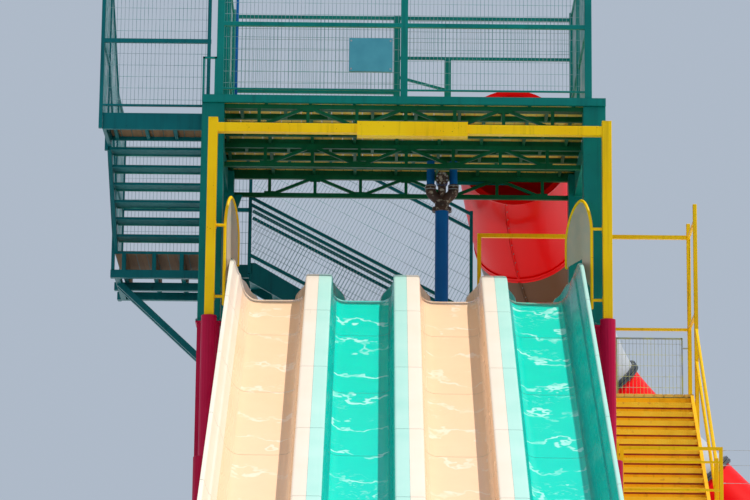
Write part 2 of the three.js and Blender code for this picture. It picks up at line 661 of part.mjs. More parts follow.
// dividers behind the crest with their wide rounded shoulders
for (const n of [-2, -1, 0, 1, 2]) {
  const x = n * LANE_PITCH;
  const edge = Math.abs(n) === 2 ? 20 : 0;
  const half = 185 - edge;
  const centre = x - Math.sign(n) * edge;
  const top = edge ? CREST.z + OUTER_RISE : tubTop;
  tubParts.push(sidePlate(
    [
      [CREST.y - 5, tubFoot],
      [CREST.y - 5, top],
      [CREST.y + 140, top - 20],
      [CREST.y + 260, tubTop - 90],
      [TUB_BACK, tubTop - 90],
      [TUB_BACK, tubFoot],
    ],
    centre - half, centre + half,
  ));
  const shoulder = [];
  const wide = 365;
  for (let i = 0; i <= 3; i++) {
    const turn = (Math.PI / 2) * (i / 3);
    shoulder.push([wide - 110 + 110 * Math.cos(turn), tubTop - 200 + 110 * Math.sin(turn)]);
  }
  const clipped = [-1, 1].map((side) => {
    const outwards = Math.abs(n) === 2 && Math.sign(n) === side;
    const reach = outwards ? 40 : null;
    const outline = reach
      ? [[x, tubFoot], [x + side * reach, tubFoot], [x + side * reach, tubTop - 90], [x, tubTop - 90]]
      : [
        [x, tubFoot],
        [x + side * wide, tubFoot],
        ...shoulder.map(([sx, sz]) => [x + side * sx, sz]),
        [x, tubTop - 90],
      ];
    const ordered = side > 0 ? outline : outline.slice().reverse();
    return frontPlate(ordered, CREST.y + 420, TUB_BACK);
  });
  tubParts.push(...clipped);
}
piece("start_tubs", join(tubParts), "turquoise");

LANES.forEach((x, lane) => {
  const made = sweep(laneSection(outerSideOf(lane)), laneCurve(RUNOUT_SEAM, SEAM.first, x, GAP / 2));
  piece(`lane_${lane + 1}`, made, lane % 2 ? "turquoise" : "cream");
});

const runParts = LANES.map((x, lane) => (
  sweep(laneSection(outerSideOf(lane)), laneCurve(RUNOUT.end, RUNOUT_SEAM, x, GAP / 2))
));
for (const y of [RUNOUT.end + 150, RUNOUT.end + 2800, RUNOUT.y - 50]) {
  runParts.push(block(-2400, 2400, y, y + 220, 0, RUNOUT.z - SKIN + 5));
}
piece("run_out", join(runParts), "turquoise");

// Slide underframe: two stringers under the lanes with cross members, and a header at the tower
const STRINGER = { x: 1815, width: 150, deep: 250 };
const BENTS = [-4100, -8600, -13100, -17300];
function stringerSection(x, grow) {
  const half = STRINGER.width / 2 + grow;
  const top = grow ? 0 : -SKIN - GAP;
  const foot = -SKIN - GAP - STRINGER.deep - grow;
  return [[-x - half, foot], [-x + half, foot], [-x + half, top], [-x - half, top]].map(
    ([a, b]) => new THREE.Vector2(a, b),
  );
}
const stringerCurve = laneCurve(RUNOUT.y + 1200, CREST.y - CREST.r * Math.sin(SLOPE) + 20, 0, 0);
const floorZAt = (y) => (
  CREST.z - CREST.r * (1 - Math.cos(SLOPE)) + (y - CREST.y + CREST.r * Math.sin(SLOPE)) * Math.tan(SLOPE)
);
const underParts = [-1, 1].map((side) => sweep(stringerSection(side * STRINGER.x, 0), stringerCurve));
const normal = [-Math.sin(SLOPE), Math.cos(SLOPE)];
for (const y of [...BENTS, -1800, -6300, -10800, -15200]) {
  const down = -SKIN - GAP - 175;
  const at = (x) => [x, y + 500 + normal[0] * down, floorZAt(y + 500) + normal[1] * down];
  underParts.push(bar(at(-STRINGER.x), at(STRINGER.x), 130));
}
underParts.push(block(-1890, 1890, -420, -GAP, 11640, 12020));
piece("slide_underframe", join(underParts), "crimson");

// Slide bents: two round posts, a cross-beam, and sloping seats under the stringers
BENTS.forEach((y, n) => {
  const beamTop = floorZAt(y) - (STRINGER.deep + SKIN) / Math.cos(SLOPE) - 160;
  const postX = 2570;
  const parts = [block(-postX, postX, y - 90, y + 90, beamTop - 240, beamTop)];
  for (const side of [-1, 1]) {
    const x = side * postX;
    parts.push(pipe([x, y, 0], [x, y, beamTop + 10], 240, 16));
    parts.push(block(x - 200, x + 200, y - 200, y + 200, 0, 25));
    const seatX = side * STRINGER.x;
    const seatBlock = block(seatX - 75, seatX + 75, y - 90, y + 90, beamTop - 20, beamTop + 300);
    parts.push(seatBlock.subtract(sweep(stringerSection(seatX, GAP), stringerCurve)));
  }
  piece(`slide_bent_${n + 1}`, join(parts), "crimson");
});

// Yellow side guards at the top of the slide: bent tube with a sheet between
const GUARDS = [
  { side: -1, word: "left", x: 2522, reach: 0.17 },
  { side: 1, word: "right", x: 2560, reach: 0.354 },
];
const LANE_SIDE = 2 * LANE_PITCH + 32;
const GUARD = { y: -330, foot: 12230, tube: 44, sheet: 10, back: 900 };
for (const { side, word, x, reach } of GUARDS) {
  const arch = new THREE.Path();
  arch.moveTo(0, 13330);
  arch.bezierCurveTo(20, 13560, 210, 13850, 400, 13850);
  arch.bezierCurveTo(640, 13840, 880, 13620, GUARD.back, 13350);
  const curve = arch.getPoints(6);
  const tip = 13000;
  const turn = Math.atan(reach);
  const place = (along, z) => [
    side * (x - along * Math.sin(turn)), GUARD.y + along * Math.cos(turn), z,
  ];
  const run = [[0, GUARD.foot], ...curve.map((p) => [p.x, p.y]), [GUARD.back, tip]];
  const tubes = run.slice(1).map(([along, z], i) => pipe(place(...run[i]), place(along, z), GUARD.tube, 8));
  const low = (x - LANE_SIDE) / Math.sin(turn); // below the tip the sheet ends beside the lane
  const shape = new THREE.Shape([
    ...curve, new THREE.Vector2(GUARD.back, tip), new THREE.Vector2(low, tip),
    new THREE.Vector2(low, 12800), new THREE.Vector2(10, 12480),
  ]);
  const plate = new THREE.ExtrudeGeometry(shape, { depth: GUARD.sheet, bevelEnabled: false });
  plate.translate(0, 0, -GUARD.sheet / 2);
  plate.rotateX(Math.PI / 2);
  plate.rotateZ(Math.PI / 2);
  plate.rotateZ(side * turn);
  plate.translate(side * x, GUARD.y, 0);
  const parts = [...tubes, solid(plate)];
  const gateIn = GATE.mid + side * (GATE.x - GATE.post / 2 - GAP);
  for (const z of [12315, 13330]) {
    parts.push(block(side * (x - 8), gateIn, GATE.y - 22, GATE.y + 34, z, z + 45));
  }
  piece(`side_guard_${word}`, join(parts), "yellow");
}

// Yellow stair: straight flights between landings, steps folded from one plate between stringers
const TREAD = 30;
function foldedFlight({ xa, xb, topY, topZ, steps, going, rise, towards }) {
  const outline = [];
  for (let n = 1; n < steps; n++) {
    const y = topY + towards * (n - 1) * going;
    const z = topZ - n * rise;
    outline.push([y + towards * 8, n === 1 ? z + rise - 60 : z + rise], [y + towards * 8, z]);
  }
  const last = [topY + towards * (steps - 1) * going, topZ - (steps - 1) * rise];
  outline.push(last, [last[0], last[1] - TREAD]);
  for (let n = steps - 1; n >= 1; n--) {
    const y = topY + towards * (n - 1) * going;
    const z = topZ - n * rise;
    outline.push([y, z - TREAD], [y, n === 1 ? z + rise - 60 : z + rise - TREAD]);
  }
  const parts = [sidePlate(towards > 0 ? outline.slice().reverse() : outline, xa + 30, xb - 30)];
  const run = (steps - 1) * going;
  const drop = steps * rise;
  for (const x of [xa, xb - 50]) {
    const side = [
      [topY, topZ - 260],
      [topY, topZ],
      [topY + towards * run, topZ - drop + rise + 20],
      [topY + towards * run, topZ - drop],
    ];
    parts.push(sidePlate(side, x, x + 50));
  }
  return join(parts);
}
const STOREY = YELLOW_STEPS * YELLOW_RISE;
const flightRun = (YELLOW_STEPS - 1) * YELLOW.going;
const FRONT_END = YELLOW.topY - flightRun;
const LAST_STEPS = Math.round((LAUNCH_Z - 4 * STOREY) / YELLOW_RISE);
const LANDING_DEPTH = 1000;
const OUT = { inner: YELLOW.outer + STAIR_WELL, outer: YELLOW.outer + STAIR_WELL + 1210 };
for (let n = 0; n < 5; n++) {
  const down = n % 2 === 0;
  const outside = n % 2 === 1;
  const steps = n === 4 ? LAST_STEPS : YELLOW_STEPS;
  const rise = n === 4 ? (LAUNCH_Z - 4 * STOREY) / steps : YELLOW_RISE;
  piece(`yellow_flight_${n + 1}`, foldedFlight({
    xa: outside ? OUT.inner : YELLOW.inner,
    xb: outside ? OUT.outer : YELLOW.outer,
    topY: down ? YELLOW.topY - GAP : FRONT_END + GAP,
    topZ: LAUNCH_Z - n * STOREY,
    steps, rise,
    going: YELLOW.going - 2 * GAP / (YELLOW_STEPS - 1),
    towards: down ? -1 : 1,
  }), "treads");
}
for (let n = 1; n <= 4; n++) {
  const z = LAUNCH_Z - n * STOREY;
  const atFront = n % 2 === 1;
  const near = atFront ? FRONT_END - LANDING_DEPTH : YELLOW.topY + GAP;
  const far = atFront ? FRONT_END - GAP : PLATFORM.back;
  const edgeY = atFront ? near : far - 60;
  // guard of the outer edge; the uppermost one leaves the stair well's width to thin cables
  const spans = n === 1
    ? [[YELLOW.inner, YELLOW.outer + 40], [OUT.inner, OUT.outer]]
    : [[YELLOW.inner, OUT.outer]];
  const parts = [
    block(YELLOW.inner, OUT.outer, near, far, z - 40, z),
    block(YELLOW.inner, OUT.outer, near, near + 60, z - 200, z),
    block(YELLOW.inner, OUT.outer, far - 60, far, z - 200, z),
    block(YELLOW.inner, OUT.outer, edgeY + 10, edgeY + 20, z - 40, z + 100),
  ];
  for (const [xa, xb] of spans) {
    for (const [rise, size] of [[400, 30], [790, 30], [980, 44]]) {
      parts.push(block(xa, xb, edgeY + 5, edgeY + 5 + size, z + rise - size / 2, z + rise + size / 2));
    }
  }
  for (const x of [YELLOW.inner, YELLOW.outer - 10, OUT.inner, OUT.outer - 50]) {
    parts.push(block(x, x + 50, edgeY + 5, edgeY + 55, z - 40, z + 1000));
  }
  piece(`yellow_landing_${n}`, join(parts), "yellow");
}

// Side frames of the yellow stair: corner posts with the handrails of its flights between them
const postFront = FRONT_END - LANDING_DEPTH - 50 - GAP;
const postBack = PLATFORM.back + 50 + GAP;
const RAIL_TOP = LAUNCH_Z - STOREY + 1030;
const HAND_HEIGHTS = [480, 980];
const SLIM = 30; // half width of the posts above the platform
function stairPost(x, y, top) {
  return join(
    block(x - 50, x + 50, y - 50, y + 50, 0, top),
    block(x - 85, x + 85, y - 85, y + 85, 0, 20),
  );
}
function slimPost(x, y, foot, top) {
  return block(x - SLIM, x + SLIM, y - SLIM, y + SLIM, foot, top);
}
function slopingRails(x, n) {
  const top = LAUNCH_Z - n * STOREY;
  const foot = Math.max(0, top - STOREY);
  const [high, low] = n % 2 === 0 ? [YELLOW.topY, FRONT_END] : [FRONT_END, YELLOW.topY];
  const end = foot ? low : high - (LAST_STEPS - 1) * YELLOW.going;
  return HAND_HEIGHTS.map((h) => bar([x, high - 22, top + h], [x, end + 22, foot + h], 45));
}
function levelRails(x, n, ya, yb) {
  const z = LAUNCH_Z - n * STOREY;
  return HAND_HEIGHTS.map((h) => block(x - 22, x + 22, ya, yb, z + h - 22, z + h + 22));
}
const innerX = YELLOW.inner - 50 - GAP;
piece("yellow_side_inner", join(
  stairPost(innerX, postFront, LAUNCH_Z - STOREY - 200),
  slimPost(innerX, postFront, LAUNCH_Z - STOREY - 250, RAIL_TOP),
  stairPost(innerX, postBack, frameFoot - GAP),
  slimPost(innerX, YELLOW.topY - SLIM, LAUNCH_Z - 400, LAUNCH_Z + 1010),
  [0, 2, 4].flatMap((n) => slopingRails(innerX, n)),
  [1, 3].flatMap((n) => levelRails(innerX, n, postFront, FRONT_END + 30)),
  [2, 4].flatMap((n) => levelRails(innerX, n, YELLOW.topY - 30, postBack)),
), "yellow");
const outerX = OUT.outer + 50 + GAP;
piece("yellow_side_outer", join(
  stairPost(outerX, postFront, RAIL_TOP),
  stairPost(outerX, postBack, LAUNCH_Z - 2 * STOREY + 1030),
  [1, 3].flatMap((n) => slopingRails(outerX, n)),
  [1, 3].flatMap((n) => levelRails(outerX, n, postFront, FRONT_END + 30)),
  [2, 4].flatMap((n) => levelRails(outerX, n, YELLOW.topY - 30, postBack)),
), "yellow");

// Middle row: the rear corner post, the newel at the head of the stair and its handrail
const FRAME_TOP = 14760;
const PORTAL = 14537; // height of the bar over the platform's back edge
const PLATFORM_HAND = 13100;
const middleX = YELLOW.outer + 50 + GAP;
piece("yellow_side_middle", join(
  stairPost(middleX, postBack, LAUNCH_Z - 500),
  slimPost(middleX, postBack, LAUNCH_Z - 550, FRAME_TOP),
  slimPost(middleX, YELLOW.topY, LAUNCH_Z - 700, FRAME_TOP + 30),
  slimPost(middleX, FRONT_END, LAUNCH_Z - STOREY + GAP, RAIL_TOP),
  slopingRails(middleX, 0),
  [PLATFORM_HAND, PORTAL].map((z) => (
    block(middleX - 22, middleX + 22, YELLOW.topY, postBack, z - 22, z + 22)
  )),
), "yellow");

// Yellow railing of the platform behind: a tall open frame with a hand rail
const RAIL = { y: PLATFORM.back + SLIM + GAP, top: PORTAL, low: 13083 };
const railEnd = middleX - SLIM - GAP;
piece("platform_railing", join(
  slimPost(PLATFORM.left + 62, RAIL.y, frameFoot, RAIL.top + 30),
  block(PLATFORM.left + 62, railEnd, RAIL.y - 28, RAIL.y + 28, RAIL.top - 30, RAIL.top + 30),
  block(PLATFORM.left + 62, railEnd, RAIL.y - 20, RAIL.y + 20, RAIL.low - 20, RAIL.low + 20),
), "yellow");

// Blue water riser with its dark forked fitting under the upper deck
const { x: riserX, y: riserY, top: riserTop } = RISER_PIPE;
const riserPipe = (za, zb, diameter) => pipe([riserX, riserY, za], [riserX, riserY, zb], diameter, 16);
piece("water_riser", join(riserPipe(0, riserTop, 200), riserPipe(0, 25, 340)), "blue");
const forkZ = riserTop + 270; // the cross pipe that carries the two branches
piece("riser_fork", join(
  riserPipe(riserTop + GAP, riserTop + 70, 290),
  riserPipe(riserTop + 50, forkZ, 210),
  pipe([riserX - 190, riserY, forkZ], [riserX + 190, riserY, forkZ], 180, 12),
  [riserX - 170, riserX + 170].map((x) => (
    pipe([x, riserY, forkZ - 20], [x, riserY, JOIST_FOOT - GAP], 120, 12)
  )),
), "blue");

// Closed flume: leaves the back of the upper deck, turns right and goes down to the ground
const FLUME_R = 840;
const FLUME_WALL = 16;
const flumeLine = new THREE.CatmullRomCurve3(
  [
    [1650, DECK_BACK + GAP, 15720],
    [1650, 4150, 15720],
    [1740, 5100, 15440],
    [1960, 6300, 14930],
    [2330, 7350, 14260],
    [3080, 8300, 12800],
    [4670, 8500, 11180],
    [6300, 8500, 9650],
    [8400, 8500, 7950],
    [10800, 8500, 6150],
    [13300, 8500, 4400],
    [15800, 8500, 2850],
    [18000, 8500, 1750],
    [20000, 8500, 1200],
  ].map((p) => new THREE.Vector3(...p)),
  false, "centripetal",
);
const RING_WIDTH = 50;
const RING_RISE = 70;
const LAP_RISE = 24; // the first joint is a plain lap, without a collar
function circle(radius, sides) {
  return Array.from({ length: sides }, (_, i) => {
    const turn = (2 * Math.PI * i) / sides;
    return new THREE.Vector2(radius * Math.cos(turn), radius * Math.sin(turn));
  });
}
const flumeLength = flumeLine.getLength();
function flumeCurve(from, to, steps) {
  const points = [];
  const tangents = [];
  for (let i = 0; i <= steps; i++) {
    const u = Math.min(1, (from + ((to - from) * i) / steps) / flumeLength);
    points.push(flumeLine.getPointAt(u));
    tangents.push(flumeLine.getTangentAt(u));
  }
  return new StationCurve(points, tangents);
}
const SIDES = 12;
const flumePaint = ["red", "brown", "red", "grey", "red", "grey"];
const flumeSteps = [4, 4, 3, 3, 3, 3];
// lengths along the line where one tube ends and the next begins
const FLUME_BENDS = [0, 2660, 5800, 8100];
const lastBend = FLUME_BENDS.length - 1;
const straightTube = (flumeLength - FLUME_BENDS[lastBend]) / (flumePaint.length - lastBend);
const flumeJoint = (n) => FLUME_BENDS[Math.min(n, lastBend)] + Math.max(0, n - lastBend) * straightTube;
const FLUME_POSTS = [3, 5]; // tubes that a post carries at their middle
flumePaint.forEach((paint, n) => {
  const last = n === flumePaint.length - 1;
  const from = flumeJoint(n) + (n ? GAP / 2 : 0);
  const to = last ? flumeLength : flumeJoint(n + 1) - GAP / 2;
  const bore = circle(FLUME_R - FLUME_WALL, SIDES);
  const curve = flumeCurve(from, to, flumeSteps[n]);
  const tube = sweep(circle(FLUME_R, SIDES), curve, [bore]);
  const rise = n === 1 ? LAP_RISE : RING_RISE;
  const ring = sweep(
    circle(FLUME_R + rise, SIDES), flumeCurve(from + 4, from + RING_WIDTH, 1),
    [circle(FLUME_R - FLUME_WALL / 2, SIDES)],
  );
  piece(`flume_${n + 1}`, join(tube, ring), paint);
  if (FLUME_POSTS.includes(n)) {
    const p = flumeLine.getPointAt((from + to) / 2 / flumeLength);
    const envelope = sweep(circle(FLUME_R + GAP / Math.cos(Math.PI / SIDES), SIDES), curve);
    const cradle = block(p.x - 200, p.x + 200, p.y - 560, p.y + 560, p.z - 1290, p.z - 440);
    piece(`flume_post_${n + 1}`, join(
      cradle.subtract(envelope),
      pipe([p.x, p.y, 0], [p.x, p.y, p.z - 1240], 260, 16),
      block(p.x - 250, p.x + 250, p.y - 250, p.y + 250, 0, 25),
    ), "crimson");
  }
});

// The finished part stands on the middle of its own footprint
const part = new THREE.Group();
const box = new THREE.Box3().setFromObject(model);
const middle = box.getCenter(new THREE.Vector3());
model.position.set(-middle.x, -middle.y, -box.min.z);
part.add(model);

export default part;
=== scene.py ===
"""Water slide tower: a steel launch tower with four moulded lanes, an upper deck with a closed flume,
and open stairs on both sides. Metres, +Z up, the slide's foot towards -Y."""
import math

import bmesh
import bpy
from mathutils import Matrix, Vector


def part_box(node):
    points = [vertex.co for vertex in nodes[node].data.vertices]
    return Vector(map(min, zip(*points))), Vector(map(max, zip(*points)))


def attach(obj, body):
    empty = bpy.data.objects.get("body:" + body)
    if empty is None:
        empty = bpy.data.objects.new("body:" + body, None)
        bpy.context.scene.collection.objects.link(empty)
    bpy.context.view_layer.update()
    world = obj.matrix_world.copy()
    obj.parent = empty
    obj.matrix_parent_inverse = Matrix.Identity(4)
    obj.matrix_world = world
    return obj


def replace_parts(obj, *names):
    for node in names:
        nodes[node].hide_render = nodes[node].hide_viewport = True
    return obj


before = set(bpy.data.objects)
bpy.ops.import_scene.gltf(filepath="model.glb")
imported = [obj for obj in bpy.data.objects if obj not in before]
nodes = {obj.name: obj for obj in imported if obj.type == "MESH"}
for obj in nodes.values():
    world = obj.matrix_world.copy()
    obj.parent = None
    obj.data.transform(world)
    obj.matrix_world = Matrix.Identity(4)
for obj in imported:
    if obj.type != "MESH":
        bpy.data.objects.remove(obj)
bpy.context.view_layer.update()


# Crimson steelwork
# The tower's lower frames, the slide's stringers and bents and the flume's posts are welded from
# hollow sections, shot-blasted, primed and sprayed with gloss enamel, and bolted down to footings.
deck_low, deck_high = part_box("upper_deck_frame")
# the slide's centre line at the front of the tower's columns, on the ground
TOWER_X = -0.055
ORIGIN = Vector(((deck_low.x + deck_high.x) / 2 - TOWER_X, deck_low.y + 0.05, 0.0))
COLUMN_X = 2.6865
COLUMN_Y = (0.15, 3.75)
GREEN_FOOT = 12.06
GATE_MID, GATE_X, GATE_Y = 0.03, 2.747, -0.345


def linear(code):
    """An sRGB hex colour as the linear numbers that a shader takes."""
    channels = [int(code[i:i + 2], 16) / 255 for i in (1, 3, 5)]
    return tuple(c / 12.92 if c <= 0.04045 else ((c + 0.055) / 1.055) ** 2.4 for c in channels) + (1.0,)


def feed(node, inputs):
    """Sets a shader node's inputs, each to a value or to the output that it links to."""
    for name, value in inputs.items():
        if isinstance(value, bpy.types.NodeSocket):
            node.id_data.links.new(value, node.inputs[name])
        else:
            node.inputs[name].default_value = value


def add(tree, kind, inputs=None, **settings):
    """Adds a shader node with its settings and inputs."""
    node = tree.nodes.new("ShaderNode" + kind)
    for name, value in settings.items():
        setattr(node, name, value)
    feed(node, inputs or {})
    return node


def new_finish(name):
    """A material, its node tree, its surface node and the object's coordinates in metres."""
    finish = bpy.data.materials.new(name)
    finish.use_nodes = True
    tree = finish.node_tree
    return finish, tree, tree.nodes["Principled BSDF"], add(tree, "TexCoord").outputs["Object"]


def patched(tree, place, scale, detail, under, over, low, high, most=1.0):
    """Lays one colour over another where noise goes from low to high; gives the colour and the noise."""
    noise = add(tree, "TexNoise", {"Vector": place, "Scale": scale, "Detail": detail})
    share = add(tree, "MapRange",
                {"Value": noise.outputs[0], "From Min": low, "From Max": high, "To Max": most})
    colour = add(tree, "Mix", {0: share.outputs[0], 6: under, 7: linear(over)}, data_type="RGBA")
    return colour.outputs[2], noise.outputs[0]


def enamel(name, fresh, faded, undercoat, roughness):
    """Gloss enamel on steel: sun-faded in patches, streaked by rain, a few chips to the primer."""
    finish, tree, surface, place = new_finish(name)
    paint, _ = patched(tree, place, 1000 / 850, 3.0, linear(fresh), faded, 0.35, 0.68)
    # streaks 60 mm apart and over a metre long, a little coarser than real ones so that they show
    drops = add(tree, "Mapping", {"Vector": place, "Scale": (1000 / 60, 1000 / 60, 1000 / 1300)})
    stained, rain = patched(tree, drops.outputs[0], 1.0, 4.0, paint, undercoat, 0.54, 0.78, 0.34)
    # chips 25 mm across
    coat, _ = patched(tree, place, 1000 / 25, 2.0, stained, undercoat, 0.735, 0.75)
    dull = add(tree, "MapRange", {"Value": rain, "To Min": roughness - 0.08, "To Max": roughness + 0.16})
    # orange peel of sprayed paint, drawn at 14 mm where the real one is about 3 mm
    peel = add(tree, "TexNoise", {"Vector": place, "Scale": 1000 / 14, "Detail": 1.0})
    skin = add(tree, "Bump", {"Height": peel.outputs[0], "Strength": 0.12, "Distance": 0.002})
    feed(surface, {"Base Color": coat, "Roughness": dull.outputs[0], "Normal": skin.outputs[0],
                   "Specular IOR Level": 0.14})
    return finish


def dress(finish, *names, edge=0.006):
    """Gives solids of the frame their finish, and rounds the edges of their hollow sections."""
    for name in names:
        node = nodes[name]
        node.data.materials.clear()
        node.data.materials.append(finish)
        if edge:
            weld = node.modifiers.new("joined", "WELD")
            weld.merge_threshold = 0.0002
            round_off = node.modifiers.new("rolled edges", "BEVEL")
            round_off.width = edge
            round_off.segments = 1
            round_off.limit_method = "ANGLE"
            round_off.angle_limit = math.radians(40)
            round_off.harden_normals = False


def make(name, mesh, slot, *finishes, smooth=35):
    """Turns a piece's faces, drawn from the slide's centre line, into its object in the frame."""
    bmesh.ops.translate(mesh, verts=mesh.verts, vec=ORIGIN)
    bmesh.ops.recalc_face_normals(mesh, faces=mesh.faces)
    # bevels leave points and faces in no fixed order
    for parts, key in ((mesh.verts, lambda p: p.co[:]), (mesh.faces, lambda f: f.calc_center_median()[:])):
        rank = {part: n for n, part in enumerate(sorted(parts, key=key))}
        parts.sort(key=rank.get)
    data = bpy.data.meshes.new(name)
    mesh.to_mesh(data)
    mesh.free()
    for finish in finishes:
        data.materials.append(finish)
    if smooth:
        data.shade_smooth()
        data.set_sharp_from_angle(angle=math.radians(smooth))
    piece = bpy.data.objects.new(name, data)
    bpy.context.scene.collection.objects.link(piece)
    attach(piece, "root")
    return piece


BOX_SIDES = ((0, 1, 3, 2), (4, 5, 7, 6), (0, 1, 5, 4), (2, 3, 7, 6), (0, 2, 6, 4), (1, 3, 7, 5))


def box(mesh, xa, xb, ya, yb, za, zb, edge=0.0, finish=0):
    """A box between two values on each axis, with its edges bevelled by edge."""
    corners = [mesh.verts.new((x, y, z)) for z in (za, zb) for y in (ya, yb) for x in (xa, xb)]
    faces = [mesh.faces.new([corners[i] for i in side]) for side in BOX_SIDES]
    for face in faces:
        face.material_index = finish
    if edge:
        edges = list(dict.fromkeys(e for face in faces for e in face.edges))
        made = bmesh.ops.bevel(mesh, geom=edges, offset=edge, segments=1, affect="EDGES")
        for face in made["faces"]:
            face.material_index = finish


def band(mesh, a, b, finish=0):
    """Faces between two closed rings of points."""
    for i in range(len(a)):
        j = (i + 1) % len(a)
        mesh.faces.new((a[i], a[j], b[j], b[i])).material_index = finish


def rod(mesh, a, b, radius, sides=6, finish=0):
    """A round bar or tube from a to b."""
    a, b = Vector(a), Vector(b)
    run = (b - a).normalized()
    across = run.orthogonal().normalized()
    up = run.cross(across)
    turns = [2 * math.pi * (i + 0.5) / sides for i in range(sides)]
    rings = [[mesh.verts.new(centre + radius * (math.cos(t) * across + math.sin(t) * up)) for t in turns]
             for centre in (a, b)]
    band(mesh, *rings, finish)
    for ring in rings:
        mesh.faces.new(ring).material_index = finish


def bolt(mesh, centre, axis, size=0.03, finish=0):
    """A hexagon head on a washer; size is across the corners."""
    centre, axis = Vector(centre), Vector(axis)
    rod(mesh, centre, centre + axis * size * 0.15, size * 0.85, 10, finish=finish)
    rod(mesh, centre + axis * size * 0.15, centre + axis * size * 0.75, size / 2, 6, finish=finish)


crimson_enamel = enamel("crimson_gloss_enamel", "#AC0236", "#B81442", "#5E0A20", 0.34)
crimson_nodes = ["lower_side_frame_left", "lower_side_frame_right", "lower_bracing_back", "slide_underframe",
                 "flume_post_4", "flume_post_6"] + [f"slide_bent_{n}" for n in range(1, 5)]
dress(crimson_enamel, *crimson_nodes)


def zinc(name):
    """Hot-dip galvanised steel: a dull grey skin with spangles of zinc crystals."""
    finish, tree, surface, place = new_finish(name)
    # spangles are 5 to 15 mm across
    crystals = add(tree, "TexVoronoi", {"Vector": place, "Scale": 1000 / 12})
    tone = add(tree, "Mix", {0: crystals.outputs["Distance"], 6: linear("#8C9093"), 7: linear("#B4B8BA")},
               data_type="RGBA")
    gloss = add(tree, "MapRange", {"Value": crystals.outputs["Distance"], "To Min": 0.38, "To Max": 0.55})
    feed(surface, {"Base Color": tone.outputs[2], "Roughness": gloss.outputs[0], "Metallic": 0.9})
    return finish


galvanised = zinc("galvanised_steel")

# anchor bolts and gussets on every base plate
FEET = [(TOWER_X + side * COLUMN_X, y, 0.03, 0.19, 0.15) for side in (-1, 1) for y in COLUMN_Y]
FEET += [(GATE_MID + side * GATE_X, GATE_Y, 0.025, 0.15, 0.1075) for side in (-1, 1)]
BENTS = (-4.1, -8.6, -13.1, -17.3)
FEET += [(side * 2.57, y, 0.025, 0.2, 0.12) for side in (-1, 1) for y in BENTS]
anchors = bmesh.new()
gussets = bmesh.new()
for x, y, top, half, radius in FEET:
    inset = half - 0.035
    for sx in (-1, 1):
        for sy in (-1, 1):
            bolt(anchors, (x + sx * inset, y + sy * inset, top), (0, 0, 1), 0.04)
    for turn in range(4):
        out = Matrix.Rotation(turn * math.pi / 2, 3, "Z") @ Vector((1, 0, 0))
        side = Vector((-out.y, out.x, 0)) * 0.006
        foot = Vector((x, y, top))
        outline = [foot + out * (radius - 0.01), foot + out * (half - 0.01), foot + out * (half - 0.01)
                   + Vector((0, 0, 0.03)), foot + out * (radius - 0.01) + Vector((0, 0, 0.2))]
        near = [gussets.verts.new(p - side) for p in outline]
        far = [gussets.verts.new(p + side) for p in outline]
        gussets.faces.new(near)
        gussets.faces.new(far[::-1])
        band(gussets, near, far)
make("anchor_bolts", anchors, "crimson_steel", galvanised)
make("base_gussets", gussets, "crimson_steel", crimson_enamel, smooth=None)

# bolts of the square columns' flanges, where the paint changes
flange_bolts = bmesh.new()
for side in (-1, 1):
    for y in COLUMN_Y:
        for sx in (-1, 0, 1):
            for sy in (-1, 0, 1):
                if sx or sy:
                    spot = (TOWER_X + side * COLUMN_X + sx * 0.168, y + sy * 0.166)
                    bolt(flange_bolts, (*spot, GREEN_FOOT + 0.02), (0, 0, 1), 0.018)
make("column_flange_bolts", flange_bolts, "green_steel", galvanised)


# Green steelwork
# Columns, deck beams, lattice trusses and landings of the upper tower, the same welded sections in a bluish
# green enamel that the sun has bleached on top; parts seen in shade take darker copies of it, which are
# painted shade.
green_enamel = enamel("green_gloss_enamel", "#006A66", "#067C74", "#04383A", 0.36)
# a darker copy of the green, painted shade, for the trusses, noggings, gusset plates and the deck's inner
# joists
painted_shade_green = enamel("green_enamel_painted_shade", "#024A28", "#056040", "#022A18", 0.4)
# the stair's landings, flights and fences, seen from below, take a darker copy of the green: painted shade
stair_green_painted_shade = enamel("teal_enamel_painted_shade", "#005A60", "#04686C", "#032E34", 0.38)
dress(green_enamel, "upper_side_frame_left", "upper_side_frame_right", "upper_deck_frame", "upper_deck_fence",
      "upper_deck_back_fence", "launch_frame")
dress(stair_green_painted_shade, "left_upper_landing", "left_lower_landing", "left_stair_fence", "left_flight",
      "back_flight",
      "back_flight_fence_near", "back_flight_fence_far")
# the trusses under the deck take the darker green: painted shade
dress(painted_shade_green, "truss_front", "truss_middle", "truss_back")
# the joists inside the deck's edge channels never see the sun, so their faces take the darker green: painted
# shade
deck_frame = nodes["upper_deck_frame"]
deck_frame.data.materials.append(painted_shade_green)
for face in deck_frame.data.polygons:
    spot = deck_frame.matrix_world @ face.center - ORIGIN
    if abs(spot.x - TOWER_X) < 2.72 and 0.0 < spot.y < 3.85:
        face.material_index = 1

# noggings between the deck's joists, staggered from bay to bay, in the darker green of painted shade
DECK_Z = 15.33
JOIST_Z = (15.225, 15.297)
DECK_Y = (-0.05, 3.9)
JOISTS = 8
JOIST_PITCH = (DECK_Y[1] - DECK_Y[0]) / (JOISTS + 1)
noggings = bmesh.new()
for bay in range(JOISTS + 1):
    start = DECK_Y[0] + bay * JOIST_PITCH + (0.06 if bay == 0 else 0.032)
    end = DECK_Y[0] + (bay + 1) * JOIST_PITCH - (0.06 if bay == JOISTS else 0.032)
    for n in range(-4, 5):
        x = n * 0.62 + (0.18 if bay % 2 else -0.08)
        if abs(x) < 2.72:
            box(noggings, TOWER_X + x - 0.022, TOWER_X + x + 0.022, start, end, *JOIST_Z)
make("deck_noggings", noggings, "green_steel", painted_shade_green, smooth=None)
